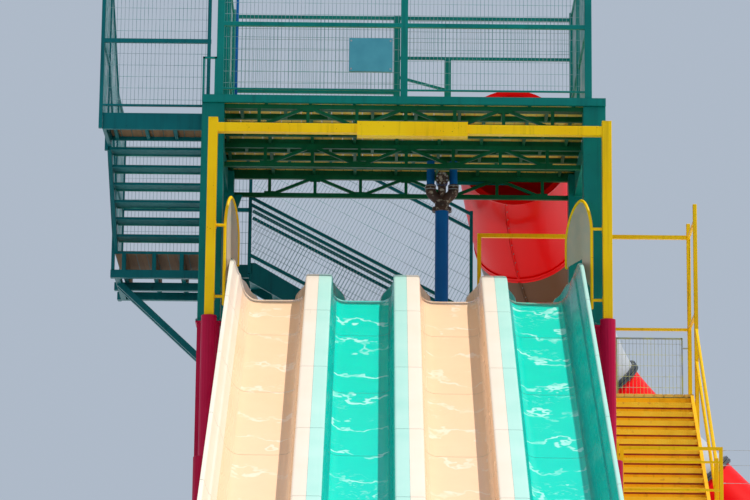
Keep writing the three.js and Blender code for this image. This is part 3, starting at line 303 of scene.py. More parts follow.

# gusset plates where the trusses' bars meet, on both chords, in the darker green of painted shade
TRUSSES = ((0.075, 0.03), (2.1, 0.06), (3.835, 0.075))
TRUSS_PITCH = 0.69
truss_plates = bmesh.new()
for y, shift in TRUSSES:
    for n in range(-3, 4):
        x, z = TOWER_X + shift + n * TRUSS_PITCH, 14.915 if n % 2 else 15.17
        for face in (-1, 1):
            spot = y + face * 0.03
            box(truss_plates, x - 0.08, x + 0.08, spot - 0.004, spot + 0.004, z - 0.045, z + 0.045, 0.003)
make("truss_gusset_plates", truss_plates, "green_steel", painted_shade_green, smooth=None)


# Boards of the deck and the launch floor
# Softwood boards 140 mm wide, laid with drainage gaps and screwed to the joists, bleached and dry; their pale
# yellow is lightened further as painted light on the undersides.
def board_finish(name, early, late, other):
    """Softwood: long grain of early and late wood, each board of its own tone."""
    finish, tree, surface, place = new_finish(name)
    # growth rings 8 mm wide, drawn at 20 mm, and half a metre long down the board
    stretched = add(tree, "Mapping", {"Vector": place, "Scale": (1000 / 20, 1000 / 500, 1000 / 20)})
    grain = add(tree, "TexNoise",
                {"Vector": stretched.outputs[0], "Scale": 1.0, "Detail": 5.0, "Distortion": 0.6})
    wood = add(tree, "Mix", {0: grain.outputs[0], 6: linear(early), 7: linear(late)}, data_type="RGBA")
    by_board = add(tree, "Mapping", {"Vector": place, "Scale": (1000 / 147, 1000 / 2500, 1.0)})
    boards = add(tree, "TexVoronoi", {"Vector": by_board.outputs[0], "Scale": 1.0})
    sort = add(tree, "MapRange", {"Value": boards.outputs["Color"], "To Max": 0.4})
    varied = add(tree, "Mix", {0: sort.outputs[0], 6: wood.outputs[2], 7: linear(other)}, data_type="RGBA")
    furrow = add(tree, "Bump", {"Height": grain.outputs[0], "Strength": 0.35, "Distance": 0.003})
    feed(surface, {"Base Color": varied.outputs[2], "Normal": furrow.outputs[0], "Roughness": 0.78})
    return finish


# pale yellow pine, lightened as painted light on the undersides seen under the deck and the launch floor
pine_painted_light = board_finish("pine_boards_painted_light", "#F6D058", "#CCA040", "#EEDA8A")
# dark brown pine: painted shade under the left stair's landings
pine_painted_shade = board_finish("pine_boards_painted_shade", "#80603A", "#4E3A22", "#8E6E48")
BOARD, BOARD_GAP = 0.14, 0.008


def boards(mesh, xa, xb, ya, yb, top, thick, hole=None):
    """Boards side by side along Y over an area; a hole (x, y, half) is left where a pipe passes."""
    count = round((xb - xa) / (BOARD + BOARD_GAP))
    pitch = (xb - xa) / count
    for n in range(count):
        a, b = xa + n * pitch + BOARD_GAP / 2, xa + (n + 1) * pitch - BOARD_GAP / 2
        runs = [(ya, yb)]
        if hole and a < hole[0] + hole[2] and b > hole[0] - hole[2]:
            runs = [(ya, hole[1] - hole[2]), (hole[1] + hole[2], yb)]
        for start, end in runs:
            box(mesh, a, b, start, end, top - thick, top, 0.003)


deck_boards = bmesh.new()
boards(deck_boards, TOWER_X - 2.783, TOWER_X + 2.783, DECK_Y[0] + 0.061, DECK_Y[1] - 0.061, DECK_Z, 0.031)
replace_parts(make("upper_deck_planks", deck_boards, "deck_boards", pine_painted_light, smooth=None),
            "upper_deck_boards")

LAUNCH_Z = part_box("launch_floor")[1].z
RISER_X, RISER_Y = 0.55, 3.0
PLATFORM_BACK = 4.72
floor_boards = bmesh.new()
boards(floor_boards, TOWER_X - 2.528, TOWER_X + 2.528, 1.752, 3.9, LAUNCH_Z, 0.049, (RISER_X, RISER_Y, 0.13))
boards(floor_boards, 1.1, 2.85, 3.905, PLATFORM_BACK, LAUNCH_Z, 0.049)
boards(floor_boards, 2.852, 4.335, 3.702, PLATFORM_BACK, LAUNCH_Z, 0.049)
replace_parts(make("launch_floor_planks", floor_boards, "deck_boards", pine_painted_light, smooth=None),
            "launch_floor")

# both landings of the left stair are boarded too, the lower one on timber joists, in a dark brown wood tone
# that is painted shade under the landings
LANDING_Z, LOWER_Z = 15.131, 13.843
landing_boards = bmesh.new()
boards(landing_boards, -4.262, -2.905, 0.302, 1.338, LANDING_Z + 0.004, 0.043)
boards(landing_boards, -4.312, -2.912, 3.196, 4.715, LOWER_Z + 0.004, 0.048)
boards(landing_boards, -2.905, -2.345, 4.022, 4.658, LOWER_Z + 0.004, 0.048)
for x in (-4.18, -3.73, -3.32):
    box(landing_boards, x - 0.036, x + 0.036, 3.27, 4.64, LOWER_Z - 0.282, LOWER_Z - 0.046, 0.003)
make("landing_planks", landing_boards, "deck_boards", pine_painted_shade, smooth=None)


# Welded wire mesh of the fences
# Panels of 5.6 mm wire welded 55 by 170 mm, galvanised and dipped in pale green, tied into every bay of
# the fences; on the stairs the wires stand square to the slope.
def coated_wire(name, colour, worn):
    """Dipped wire: a thin matt coat, worn back to zinc in places."""
    finish, tree, surface, place = new_finish(name)
    coat, _ = patched(tree, place, 1000 / 300, 4.0, linear(colour), worn, 0.45, 0.62)
    feed(surface, {"Base Color": coat, "Metallic": 0.2, "Roughness": 0.5})
    return finish


green_wire = coated_wire("green_dipped_wire", "#5F8F92", "#8FA3AB")
WIRE = 0.0028
WIRE_PITCH, CROSS_PITCH = 0.0553, 0.17


def wire_mesh(mesh, corners, along, pitches=(WIRE_PITCH, CROSS_PITCH), radius=WIRE):
    """Fills a flat convex outline with wires, one set across the direction along and one with it."""
    corners = [Vector(c) for c in corners]
    along = Vector(along).normalized()
    normal = (corners[1] - corners[0]).cross(corners[2] - corners[0]).normalized()
    across = normal.cross(along).normalized()
    for run, step, pitch, shift in ((across, along, pitches[0], 0.0),
                                    (along, across, pitches[1], radius * 1.6)):
        marks = [c.dot(step) for c in corners]
        mark = min(marks) + pitch / 2
        while mark < max(marks):
            hits = []
            for i, a in enumerate(corners):
                b = corners[(i + 1) % len(corners)]
                da, db = a.dot(step) - mark, b.dot(step) - mark
                if da * db < 0:
                    hits.append(a.lerp(b, da / (da - db)) + normal * shift)
            if len(hits) == 2 and (hits[0] - hits[1]).length > 0.02:
                rod(mesh, hits[0], hits[1], radius, 4)
            mark += pitch


FENCE_LEFT, FENCE_MID, FENCE_RIGHT = (TOWER_X + x for x in (-2.6, 0.0, 2.6))
FENCE_FRONT, FENCE_BACK = -0.015, 3.85
FENCE_LOW, FENCE_TOP = 15.426, 17.74
wires = bmesh.new()


def upright(mesh, a, b, low, high):
    """A rectangular panel between two plan points."""
    wire_mesh(mesh, [(*a, low), (*b, low), (*b, high), (*a, high)], Vector((*b, 0)) - Vector((*a, 0)))


FLUME_GATE_X = TOWER_X - 0.079
for xa, ya, xb, yb in ((FENCE_LEFT, FENCE_FRONT, FENCE_MID, FENCE_FRONT),
                       (FENCE_MID, FENCE_FRONT, FENCE_RIGHT, FENCE_FRONT),
                       (FENCE_RIGHT, FENCE_FRONT, FENCE_RIGHT, 1.9), (FENCE_RIGHT, 1.9, FENCE_RIGHT, 3.6),
                       (FENCE_LEFT, 1.45, FENCE_LEFT, 3.6), (FENCE_LEFT, FENCE_BACK, FLUME_GATE_X,
                                                             FENCE_BACK)):
    upright(wires, (xa, ya), (xb, yb), FENCE_LOW, FENCE_TOP)
# behind the flume's mouth the mesh starts above a header rail
upright(wires, (FLUME_GATE_X, FENCE_BACK), (FENCE_RIGHT, FENCE_BACK), 17.1, FENCE_TOP)
make("upper_deck_fence_mesh", wires, "green_steel", green_wire, smooth=None)

STAIR_X, STAIR_FRONT, STAIR_REAR = -4.3413, 0.2247, 4.7453
FLIGHT_START, FLIGHT_END = 1.39, 3.1906
BACK_TOP_X, BACK_END_X = -2.34, 1.1
MESH_FOOT, MESH_TOP = 0.104, 2.41
stair_wires = bmesh.new()
for a, b, z in (((STAIR_X, STAIR_FRONT), (-2.84, STAIR_FRONT), LANDING_Z),
                ((STAIR_X, STAIR_FRONT), (STAIR_X, FLIGHT_START), LANDING_Z),
                ((STAIR_X, FLIGHT_END), (STAIR_X, STAIR_REAR), LOWER_Z),
                ((STAIR_X, STAIR_REAR), (BACK_TOP_X - 0.03, STAIR_REAR), LOWER_Z)):
    upright(stair_wires, a, b, z + MESH_FOOT, z + MESH_TOP)
wire_mesh(stair_wires, [(STAIR_X, y, z + rise) for y, z, rise in (
    (FLIGHT_START, LANDING_Z, MESH_FOOT), (FLIGHT_END, LOWER_Z, MESH_FOOT),
    (FLIGHT_END, LOWER_Z, MESH_TOP), (FLIGHT_START, LANDING_Z, MESH_TOP))],
          (0, FLIGHT_END - FLIGHT_START, LOWER_Z - LANDING_Z))
make("left_stair_mesh", stair_wires, "green_steel", green_wire, smooth=None)

BACK_TREADS = 10
BACK_GOING = (BACK_END_X - BACK_TOP_X) / BACK_TREADS
BACK_RISE = (LOWER_Z - LAUNCH_Z) / (BACK_TREADS + 1)
back_drop = BACK_RISE / BACK_GOING
back_wires = bmesh.new()
for y, low, high in ((3.9357, 0.09, 0.86), (4.7443, 0.09, 0.86), (4.7443, 1.0, 2.74)):
    ends = []
    for x in (BACK_TOP_X + 0.02, BACK_END_X - 0.06):
        line = LOWER_Z + 0.06 - (x - BACK_TOP_X) * back_drop
        ends.append((x, line))
    (xa, za), (xb, zb) = ends
    wire_mesh(back_wires, [(xa, y, za + low), (xb, y, zb + low), (xb, y, zb + high), (xa, y, za + high)],
              (xb - xa, 0, zb - za), (0.052, 0.25))
make("back_flight_mesh", back_wires, "green_steel", green_wire, smooth=None)

# small guard frame beside the deck's left corner
guard_frame = bmesh.new()
for x in (-2.884, -2.715):
    box(guard_frame, x - 0.014, x + 0.014, -0.045, -0.017, DECK_Z + 0.001, 15.885)
box(guard_frame, -2.898, -2.701, -0.045, -0.017, 15.857, 15.885)
make("corner_guard_frame", guard_frame, "green_steel", green_enamel, smooth=None)


# Blank board on the front fence
# A sheet of aluminium composite under a plain blue film, satin and a little paler where the weather
# has reached it, held by four clips.
def clouded(name, size, detail, colour, other, roughness):
    """A nearly plain surface: two close tones in soft clouds, size millimetres wide."""
    finish, tree, surface, place = new_finish(name)
    clouds = add(tree, "TexNoise", {"Vector": place, "Scale": 1000 / size, "Detail": detail})
    tone = add(tree, "Mix", {0: clouds.outputs[0], 6: linear(colour), 7: linear(other)}, data_type="RGBA")
    feed(surface, {"Base Color": tone.outputs[2], "Roughness": roughness})
    return finish


blue_film = clouded("blue_film_on_composite", 250, 3.0, "#2A7F92", "#4C9FAE", 0.4)
board = bmesh.new()
BOARD_LEFT, BOARD_RIGHT, BOARD_FOOT, BOARD_TOP = -0.836, -0.22, 15.68, 16.175
box(board, BOARD_LEFT, BOARD_RIGHT, -0.067, -0.0453, BOARD_FOOT, BOARD_TOP, 0.004)
for x in (BOARD_LEFT + 0.03, BOARD_RIGHT - 0.03):
    for z in (BOARD_FOOT + 0.04, BOARD_TOP - 0.04):
        rod(board, (x, -0.0703, z), (x, -0.066, z), 0.014, 12, finish=1)
        box(board, x - 0.012, x + 0.012, -0.041, -0.01, z - 0.012, z + 0.012, finish=1)
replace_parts(make("blank_board_sheet", board, "blank_panel", blue_film, galvanised), "blank_board")


# Green stairs
# Open flights of folded steel treads between flat stringers, with anti-slip plate on top and the
# treads' ends bolted through.
def tread_plate(name, colour, worn, edge):
    """Tear plate under paint: rows of raised lozenges, scuffed to a paler tone on the walking line."""
    finish, tree, surface, place = new_finish(name)
    # lozenges 28 mm apart
    rows = add(tree, "Mapping",
               {"Vector": place, "Rotation": (0, 0, math.radians(45)), "Scale": (1000 / 28,) * 3})
    studs = add(tree, "TexVoronoi", {"Vector": rows.outputs[0], "Scale": 1.0, "Randomness": 0.0})
    # scuffs about 220 mm across, then rust in spots of 90 mm
    paint, _ = patched(tree, place, 1000 / 220, 4.0, linear(colour), worn, 0.42, 0.7)
    aged, _ = patched(tree, place, 1000 / 90, 5.0, paint, edge, 0.62, 0.7, 0.7)
    raised = add(tree, "MapRange", {"Value": studs.outputs["Distance"], "From Min": 0.2, "From Max": 0.4,
                                    "To Min": 1.0, "To Max": 0.0})
    relief = add(tree, "Bump", {"Height": raised.outputs[0], "Strength": 0.5, "Distance": 0.003})
    feed(surface, {"Base Color": aged, "Normal": relief.outputs[0], "Roughness": 0.5})
    return finish


green_tread = tread_plate("green_tread_plate", "#0B6B5C", "#2E8F7F", "#0A3A30")
treads = bmesh.new()
LEFT_TREADS, LEFT_GOING, LEFT_RISE = 6, 0.3, 0.184
TREAD_LEFT, TREAD_RIGHT = -4.262, -2.974
for n in range(1, LEFT_TREADS + 1):
    y = FLIGHT_START + n * LEFT_GOING
    z = LANDING_Z - n * LEFT_RISE
    box(treads, TREAD_LEFT, TREAD_RIGHT, y - LEFT_GOING + 0.012, y + 0.006, z + 0.0005, z + 0.005, 0.002)
    box(treads, TREAD_LEFT, TREAD_RIGHT, y + 0.0105, y + 0.015, z - 0.05, z + 0.004)
for n in range(1, BACK_TREADS + 1):
    x = BACK_TOP_X + n * BACK_GOING
    z = LOWER_Z - n * BACK_RISE
    box(treads, x - BACK_GOING + 0.02, x - 0.006, 4.012, 4.668, z + 0.0005, z + 0.005, 0.002)
    if n < BACK_TREADS:
        box(treads, x + 0.0105, x + 0.015, 4.012, 4.668, z - 0.05, z + 0.004)
make("green_stair_treads", treads, "green_steel", green_tread, smooth=None)


# Yellow gateway
# Two square posts on the round columns and a beam across, with a wider sleeve bolted over its
# middle, all in yellow enamel.
yellow_enamel = enamel("yellow_gloss_enamel", "#F2BE00", "#F8CC0C", "#8C6A08", 0.36)
dress(yellow_enamel, "gateway_frame", "platform_railing", "yellow_side_inner", "yellow_side_outer",
      "yellow_side_middle", *[f"yellow_landing_{n}" for n in range(1, 5)])
BEAM_Z, POST_TOP = 14.752, 14.89
gate_trim = bmesh.new()
for side in (-1, 1):
    x = GATE_MID + side * GATE_X
    box(gate_trim, x - 0.068, x + 0.068, GATE_Y - 0.068, GATE_Y + 0.068, POST_TOP - 0.004, POST_TOP + 0.004,
        0.003)
for x in (-0.7, 0.83):
    box(gate_trim, x - 0.006, x + 0.006, GATE_Y - 0.087, GATE_Y + 0.087, BEAM_Z - 0.111, BEAM_Z + 0.1)
make("gateway_caps_and_collars", gate_trim, "yellow_steel", yellow_enamel, smooth=None)
gate_bolts = bmesh.new()
for x in (-0.6, -0.28, 0.06, 0.4, 0.72):
    bolt(gate_bolts, (x, GATE_Y + 0.084, BEAM_Z - 0.075), (0, 1, 0), 0.022)
make("gateway_bolts", gate_bolts, "yellow_steel", galvanised)


# Side guards at the top of the slide
# A 44 mm tube bent to a tall arch, with a ribbed sheet riveted inside,
# hung from the gateway's posts by two stubs each.
def ribbed_sheet(name):
    """Glass-reinforced sheet: milky grey-green above, sandy and stained towards its foot."""
    finish, tree, surface, place = new_finish(name)
    height = add(tree, "SeparateXYZ", {"Vector": place})
    stain = add(tree, "MapRange", {"Value": height.outputs["Z"], "From Min": 12.7, "From Max": 13.7})
    spots = add(tree, "TexNoise", {"Vector": place, "Scale": 1000 / 160, "Detail": 3.0})
    uneven = add(tree, "Math", {0: stain.outputs[0], 1: spots.outputs[0]}, operation="MULTIPLY")
    tone = add(tree, "Mix", {0: uneven.outputs[0], 6: linear("#CDB79C"), 7: linear("#8FA39A")},
               data_type="RGBA")
    feed(surface, {"Base Color": tone.outputs[2], "Roughness": 0.42})
    return finish


sheet_finish = ribbed_sheet("ribbed_glass_fibre_sheet")
GUARD_Y, GUARD_END, LANE_SIDE = -0.33, 0.9, 2.452
GUARD_TUBE, SHEET_THICK, STRIPS = 0.022, 0.0024, 60
RIB_PITCH, RIB_DEPTH = 0.03, 0.006


def strip(mesh, rows, finishes=None):
    """Closed skin of a thin bar through rows of four points, two pairs in each row."""
    rows = [[row[i] for i in (0, 1, 3, 2)] for row in rows]
    for n, (a, b) in enumerate(zip(rows, rows[1:])):
        band(mesh, a, b, finishes[n] if finishes else 0)
    for row in (rows[0], rows[-1]):
        mesh.faces.new(row)


def bezier(a, b, c, d, steps):
    """Points on a cubic curve in the plane, without the first."""
    points = []
    for i in range(1, steps + 1):
        t = i / steps
        k = (1 - t) ** 3, 3 * t * (1 - t) ** 2, 3 * t * t * (1 - t), t ** 3
        points.append(tuple(sum(w * p[axis] for w, p in zip(k, (a, b, c, d))) for axis in (0, 1)))
    return points


ARCH_SPRING, ARCH_TOP, SHEET_TIP = 13.33, 13.85, 13.0
arch = [(0.0, ARCH_SPRING)]
arch += bezier((0.0, ARCH_SPRING), (0.02, 13.56), (0.21, ARCH_TOP), (0.4, ARCH_TOP), 12)
arch += bezier((0.4, ARCH_TOP), (0.64, 13.84), (0.88, 13.62), (GUARD_END, 13.35), 12)
for side, word, guard_x, slant in ((-1, "left", 2.522, 0.17), (1, "right", 2.56, 0.354)):
    guard_turn = math.atan(slant)
    turn = Matrix.Rotation(side * guard_turn, 3, "Z") @ Matrix.Rotation(math.pi / 2, 3, "Z")
    place_at = Vector((side * guard_x, GUARD_Y, 0))
    # below the arch's tip the sheet stays beside the lane
    low = (guard_x - LANE_SIDE) / math.sin(guard_turn)
    bent = [(0.0, 12.23)] + arch + [(GUARD_END, SHEET_TIP)]
    tube = bmesh.new()
    spots = [turn @ Vector((u, 0, 0)) + Vector((0, 0, z)) + place_at for u, z in bent]
    for a, b in zip(spots, spots[1:]):
        rod(tube, a, b, GUARD_TUBE, 12)
    for spot in spots:
        bmesh.ops.create_icosphere(tube, subdivisions=2, radius=GUARD_TUBE, matrix=Matrix.Translation(spot))
    gate_in = GATE_MID + side * (GATE_X - 0.0663)
    for z in (12.3375, 13.3525):
        rod(tube, (side * (guard_x - 0.004), GATE_Y + 0.01, z), (gate_in, GATE_Y + 0.01, z), 0.021, 12)
        box(tube, gate_in - side * 0.006, gate_in, GATE_Y - 0.04, GATE_Y + 0.05, z - 0.05, z + 0.05)
    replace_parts(make(f"side_guard_tube_{word}", tube, "yellow_steel", yellow_enamel), f"side_guard_{word}")
    # the ribs are cut to the arch, two facets to a rib
    outline = arch + [(GUARD_END, SHEET_TIP), (low, SHEET_TIP), (low, 12.8), (0.01, 12.48)]
    sheet = bmesh.new()
    rows = []
    for i in range(STRIPS + 1):
        u = 0.012 + (0.876 * i) / STRIPS
        heights = []
        for (ua, za), (ub, zb) in zip(outline, outline[1:] + outline[:1]):
            if min(ua, ub) <= u < max(ua, ub):
                heights.append(za + (zb - za) * (u - ua) / (ub - ua))
        if len(heights) < 2:
            continue
        rib = RIB_DEPTH / 2 * math.cos(2 * math.pi * u / RIB_PITCH)
        rows.append([turn @ Vector((u, rib + face, 0)) + Vector((0, 0, z)) + place_at
                     for face in (-SHEET_THICK / 2, SHEET_THICK / 2) for z in (min(heights), max(heights))])
    grid = [[sheet.verts.new(p) for p in row] for row in rows]
    strip(sheet, grid)
    make(f"side_guard_sheet_{word}", sheet, "yellow_steel", sheet_finish, smooth=60)


# Slide lanes
# Each lane is a row of glass-fibre mouldings, gelcoat up, bolted end to end through flanges turned
# down under their joints; neighbours share a divider, one flange each. Water runs down the floors.
LANE_PITCH = 1.21
LANES = [n * LANE_PITCH for n in (-1.5, -0.5, 0.5, 1.5)]
LANE_SLOPE = math.atan(0.636)
CREST_Y, CREST_Z, CREST_R = 0.394, 12.43, 1.5
FOOT_Y, FOOT_Z, FOOT_R, LANE_END = -20.995, 0.4, 7.0, -26.5
SEAM_FIRST, SEAM_PITCH, SEAMS = -1.404, 1.8225, 8
DIVIDER_RISE, OUTER_RISE, SKIN = 0.36, 0.55, 0.015
TUB_BACK = 1.7
JOINT = 0.007


def gelcoat(name, colour, shade, gloss=0.16):
    """Sprayed gelcoat: a deep gloss over one even colour, slightly chalky where it has weathered."""
    finish, tree, surface, place = new_finish(name)
    chalk = add(tree, "TexNoise", {"Vector": place, "Scale": 1000 / 600, "Detail": 4.0})
    body = add(tree, "Mix", {0: chalk.outputs[0], 6: linear(colour), 7: linear(shade)}, data_type="RGBA")
    # runs of water leave marks 40 mm wide down the slope
    down = add(tree, "Mapping", {"Vector": place, "Scale": (1000 / 40, 1000 / 900, 1000 / 900)})
    marked, marks = patched(tree, down.outputs[0], 1.0, 3.0, body.outputs[2], shade, 0.55, 0.8, 0.22)
    rough = add(tree, "MapRange", {"Value": marks, "To Min": gloss, "To Max": gloss + 0.22})
    feed(surface,
         {"Base Color": marked, "Roughness": rough.outputs[0], "IOR": 1.52, "Specular IOR Level": 0.3})
    return finish


def wet_floor(name, colour, deep, foam_and_glint_colour, foam_and_glint_share):
    """Gelcoat under a thin sheet of running water: wave fronts, and small bright ripples between them that
    are painted highlights of glinting water.
    """
    finish, tree, surface, place = new_finish(name)
    # wave fronts cross the lane 0.8 m apart, a little askew and bent; a band texture's period is 2 pi / 20
    askew = add(tree, "Mapping", {"Vector": place, "Rotation": (0, 0, math.radians(10))})
    fronts = add(tree, "TexWave", {"Vector": askew.outputs[0], "Scale": 2 * math.pi / 20 / 0.8,
                                   "Distortion": 5.5, "Detail": 3.0, "Detail Scale": 5.0,
                                   "Detail Roughness": 0.6}, bands_direction="Y")
    crest = add(tree, "MapRange", {"Value": fronts.outputs["Fac"], "From Min": 0.955, "From Max": 1.0},
                interpolation_type="SMOOTHSTEP")
    broken = add(tree, "TexNoise", {"Vector": place, "Scale": 1000 / 300, "Detail": 4.0})
    kept = add(tree, "MapRange", {"Value": broken.outputs[0], "From Min": 0.34, "From Max": 0.56})
    lines = add(tree, "Math", {0: crest.outputs[0], 1: kept.outputs[0]}, operation="MULTIPLY")
    # ripples 110 by 75 mm between the fronts, gathered in bright patches: painted glints of light on the
    # water
    fine = add(tree, "Mapping", {"Vector": place, "Scale": (1000 / 110, 1000 / 75, 0.0)})
    ripples = add(tree, "TexNoise",
                  {"Vector": fine.outputs[0], "Scale": 1.0, "Detail": 4.0, "Distortion": 1.2})
    glints = add(tree, "MapRange",
                 {"Value": ripples.outputs[0], "From Min": 0.55, "From Max": 0.72, "To Max": 0.5})
    patch = add(tree, "TexNoise", {"Vector": place, "Scale": 1000 / 900, "Detail": 1.0})
    glint_patches = add(tree, "MapRange", {"Value": patch.outputs[0], "From Min": 0.54, "From Max": 0.68})
    painted_glints = add(tree, "Math", {0: glints.outputs[0], 1: glint_patches.outputs[0]}, operation="MULTIPLY")
    foam_and_glints = add(tree, "Math", {0: lines.outputs[0], 1: painted_glints.outputs[0]}, operation="MAXIMUM")
    white = add(tree, "Math", {0: foam_and_glints.outputs[0], 1: foam_and_glint_share}, operation="MULTIPLY")
    depth = add(tree, "Mix", {0: broken.outputs[0], 6: linear(colour), 7: linear(deep)}, data_type="RGBA")
    water = add(tree, "Mix", {0: white.outputs[0], 6: depth.outputs[2], 7: linear(foam_and_glint_colour)}, data_type="RGBA")
    swell = add(tree, "Math", {0: ripples.outputs[0], 1: foam_and_glints.outputs[0]}, operation="ADD")
    relief = add(tree, "Bump", {"Height": swell.outputs[0], "Strength": 0.16, "Distance": 0.01})
    feed(surface, {"Base Color": water.outputs[2], "Normal": relief.outputs[0], "Roughness": 0.2, "IOR": 1.4,
                   "Specular IOR Level": 0.3})
    return finish


def laminate(name, colour, shade):
    """The back of a moulding: chopped strand mat under rough resin, unpainted."""
    finish, tree, surface, place = new_finish(name)
    # strands 50 mm long
    strands = add(tree, "TexNoise", {"Vector": place, "Scale": 1000 / 50, "Detail": 6.0, "Distortion": 2.0})
    tone = add(tree, "Mix", {0: strands.outputs[0], 6: linear(colour), 7: linear(shade)}, data_type="RGBA")
    relief = add(tree, "Bump", {"Height": strands.outputs[0], "Strength": 0.4, "Distance": 0.003})
    feed(surface, {"Base Color": tone.outputs[2], "Normal": relief.outputs[0], "Roughness": 0.62})
    return finish


CREAM = [gelcoat("cream_gelcoat", "#F8D8B4", "#F0C8A2"),
         wet_floor("cream_gelcoat_under_water", "#FAD6B0", "#F6CEA8", "#FFF4E6", 0.5),
         gelcoat("cream_gelcoat_bleached_and_painted_light", "#F8EADA", "#F1DDC6", 0.22),
         laminate("cream_laminate_back", "#D9CDB4", "#B9AB90")]
TURQUOISE = [gelcoat("turquoise_gelcoat", "#04BAAA", "#049C92"),
             wet_floor("turquoise_gelcoat_under_water", "#00DEC4", "#00D0BC", "#D8FFF6", 0.68),
             gelcoat("turquoise_gelcoat_bleached", "#C8EBDF", "#A4DCCE", 0.22),
             laminate("turquoise_laminate_back", "#8FB5AC", "#6F968E")]
WHITE_EDGE = gelcoat("white_edge_gelcoat", "#F6F0E2", "#E6DCC8", 0.22)


DRY, WET, PALE_TONE, BACK, LIP = range(5)


def lane_line(y):
    """Height and slope angle of the lanes' floor above a distance from the tower."""
    crest_start = CREST_Y - CREST_R * math.sin(LANE_SLOPE)
    if y >= CREST_Y:
        return CREST_Z, 0.0
    if y > crest_start:
        angle = math.asin((CREST_Y - y) / CREST_R)
        return CREST_Z - CREST_R * (1 - math.cos(angle)), angle
    foot_end = FOOT_Y + FOOT_R * math.sin(LANE_SLOPE)
    if y >= foot_end:
        top = CREST_Z - CREST_R * (1 - math.cos(LANE_SLOPE))
        return top + (y - crest_start) * math.tan(LANE_SLOPE), LANE_SLOPE
    if y > FOOT_Y:
        angle = math.asin((y - FOOT_Y) / FOOT_R)
        return FOOT_Z + FOOT_R * (1 - math.cos(angle)), angle
    return FOOT_Z, 0.0


def rounded(points, steps=3):
    """An open outline with its corners rounded; each point is (x, y, radius)."""
    made = []
    for i, (x, y, radius) in enumerate(points):
        here = Vector((x, y))
        if not radius or i in (0, len(points) - 1):
            made.append(here)
            continue
        before = Vector(points[i - 1][:2]) - here
        after = Vector(points[i + 1][:2]) - here
        reach = min(radius, before.length * 0.45, after.length * 0.45)
        a, b = here + before.normalized() * reach, here + after.normalized() * reach
        for n in range(steps + 1):
            t = n / steps
            made.append((1 - t) ** 2 * a + 2 * t * (1 - t) * here + t * t * b)
    return made


EDGE = LANE_PITCH / 2 - 0.001
INNER_WALL = [(EDGE, DIVIDER_RISE, 0), (0.425, DIVIDER_RISE, 0.03), (0.402, 0.06, 0.1), (0.3, 0.0, 0.15),
              (0.15, -0.004, 0)]
OUTER_WALL = [(0.625, OUTER_RISE, 0), (0.576, OUTER_RISE, 0.02), (0.556, 0.46, 0.05), (0.522, 0.375, 0.015),
              (0.496, 0.355, 0.015), (0.484, 0.28, 0.08), (0.43, 0.1, 0.12), (0.32, 0.0, 0.12), (0.15, -0.004,
                                                                                                 0)]


def lane_ring(side, centre, wall=None, other=None):
    """A lane's cross-section as (x, height) pairs, top then underside, and each edge's finish."""
    left = wall or (OUTER_WALL if side < 0 else INNER_WALL)
    right = other or (OUTER_WALL if side > 0 else INNER_WALL)
    halves = []
    for sign, half in ((-1, left), (1, right)):
        halves.append([(sign * p.x, p.y) for p in rounded(half)])
    top = halves[0] + halves[1][::-1]
    under = [(x, h - SKIN) for x, h in top]
    for k in range(1, len(top) - 1):
        run = Vector(top[k + 1]) - Vector(top[k - 1])
        out = Vector((run.y, -run.x)).normalized() * SKIN
        under[k] = (top[k][0] + out.x, top[k][1] + out.y)
    finishes = []
    for (xa, ha), (xb, hb) in zip(top, top[1:]):
        x, h = abs(xa + xb) / 2, (ha + hb) / 2
        outer = (left is OUTER_WALL and xa + xb < 0) or (right is OUTER_WALL and xa + xb > 0)
        # divider tops take the bleached gelcoat; lane 1's outer wall, facing the key light, takes the pale
        # cream as painted light
        if x > 0.57 and outer and h > OUTER_RISE - 0.03:
            finishes.append(LIP)
        elif (not outer and h > DIVIDER_RISE - 0.012) or (outer and side < 0 and h > 0.2):
            finishes.append(PALE_TONE)
        else:
            finishes.append(WET if h < 0.03 else DRY)
    finishes += [BACK] * (len(top) + 1)
    return [(x + centre, h) for x, h in top + under[::-1]], finishes


def loft(mesh, rings, finishes):
    """Closed skin through rings of points; finishes holds the material of each strip."""
    grid = [[mesh.verts.new(p) for p in ring] for ring in rings]
    count = len(grid[0])
    for a, b in zip(grid, grid[1:]):
        for i in range(count):
            j = (i + 1) % count
            mesh.faces.new((a[i], a[j], b[j], b[i])).material_index = finishes[i]
    for ring in (grid[0], grid[-1]):
        half = count // 2
        for i in range(half - 1):
            mesh.faces.new((ring[i], ring[i + 1], ring[count - 2 - i],
                            ring[count - 1 - i])).material_index = finishes[-1]


def swept(ring, y, extra=0.0):
    """A lane's cross-section stood square to the floor line at y."""
    z, angle = lane_line(y)
    return [Vector((x, y - h * math.sin(angle), z + h * math.cos(angle))) for x, h in ring]


def shoulder_wall(side_out, share):
    """The wall behind the crest: it widens and rounds over as share goes from 0 to 1."""
    wide = 0.43 - 0.19 * share
    high = DIVIDER_RISE - 0.09 * share
    seat = -0.17 * share
    edge = 0.625 if side_out else EDGE
    if side_out:
        lip = OUTER_RISE + (DIVIDER_RISE - 0.09 - OUTER_RISE) * min(1.0, share * 1.6)
        top = [(edge, lip, 0), (0.576, lip, 0.02), (0.556 - 0.1 * share, lip - 0.02, 0.04)]
        top += [(0.522 - 0.14 * share, min(0.375, lip - 0.03), 0.015),
                (0.5 - 0.18 * share, min(0.36, lip - 0.04), 0.03)]
        top += [(wide + 0.04, min(0.3, lip - 0.07), 0.08), (wide, 0.1 + seat * 0.4, 0.1)]
        top += [(wide - 0.04, seat, 0.05), (0.1, seat - 0.004, 0)]
        return top
    return [(edge, high, 0), (wide, high, 0.03 + 0.1 * share), (wide - 0.01, 0.06 + seat, 0.06),
            (wide - 0.08, seat, 0.06), (0.1, seat - 0.004, 0)]


def stations_between(a, b, steps):
    """Evenly spaced places from a to b."""
    return [a + (b - a) * i / steps for i in range(steps + 1)]


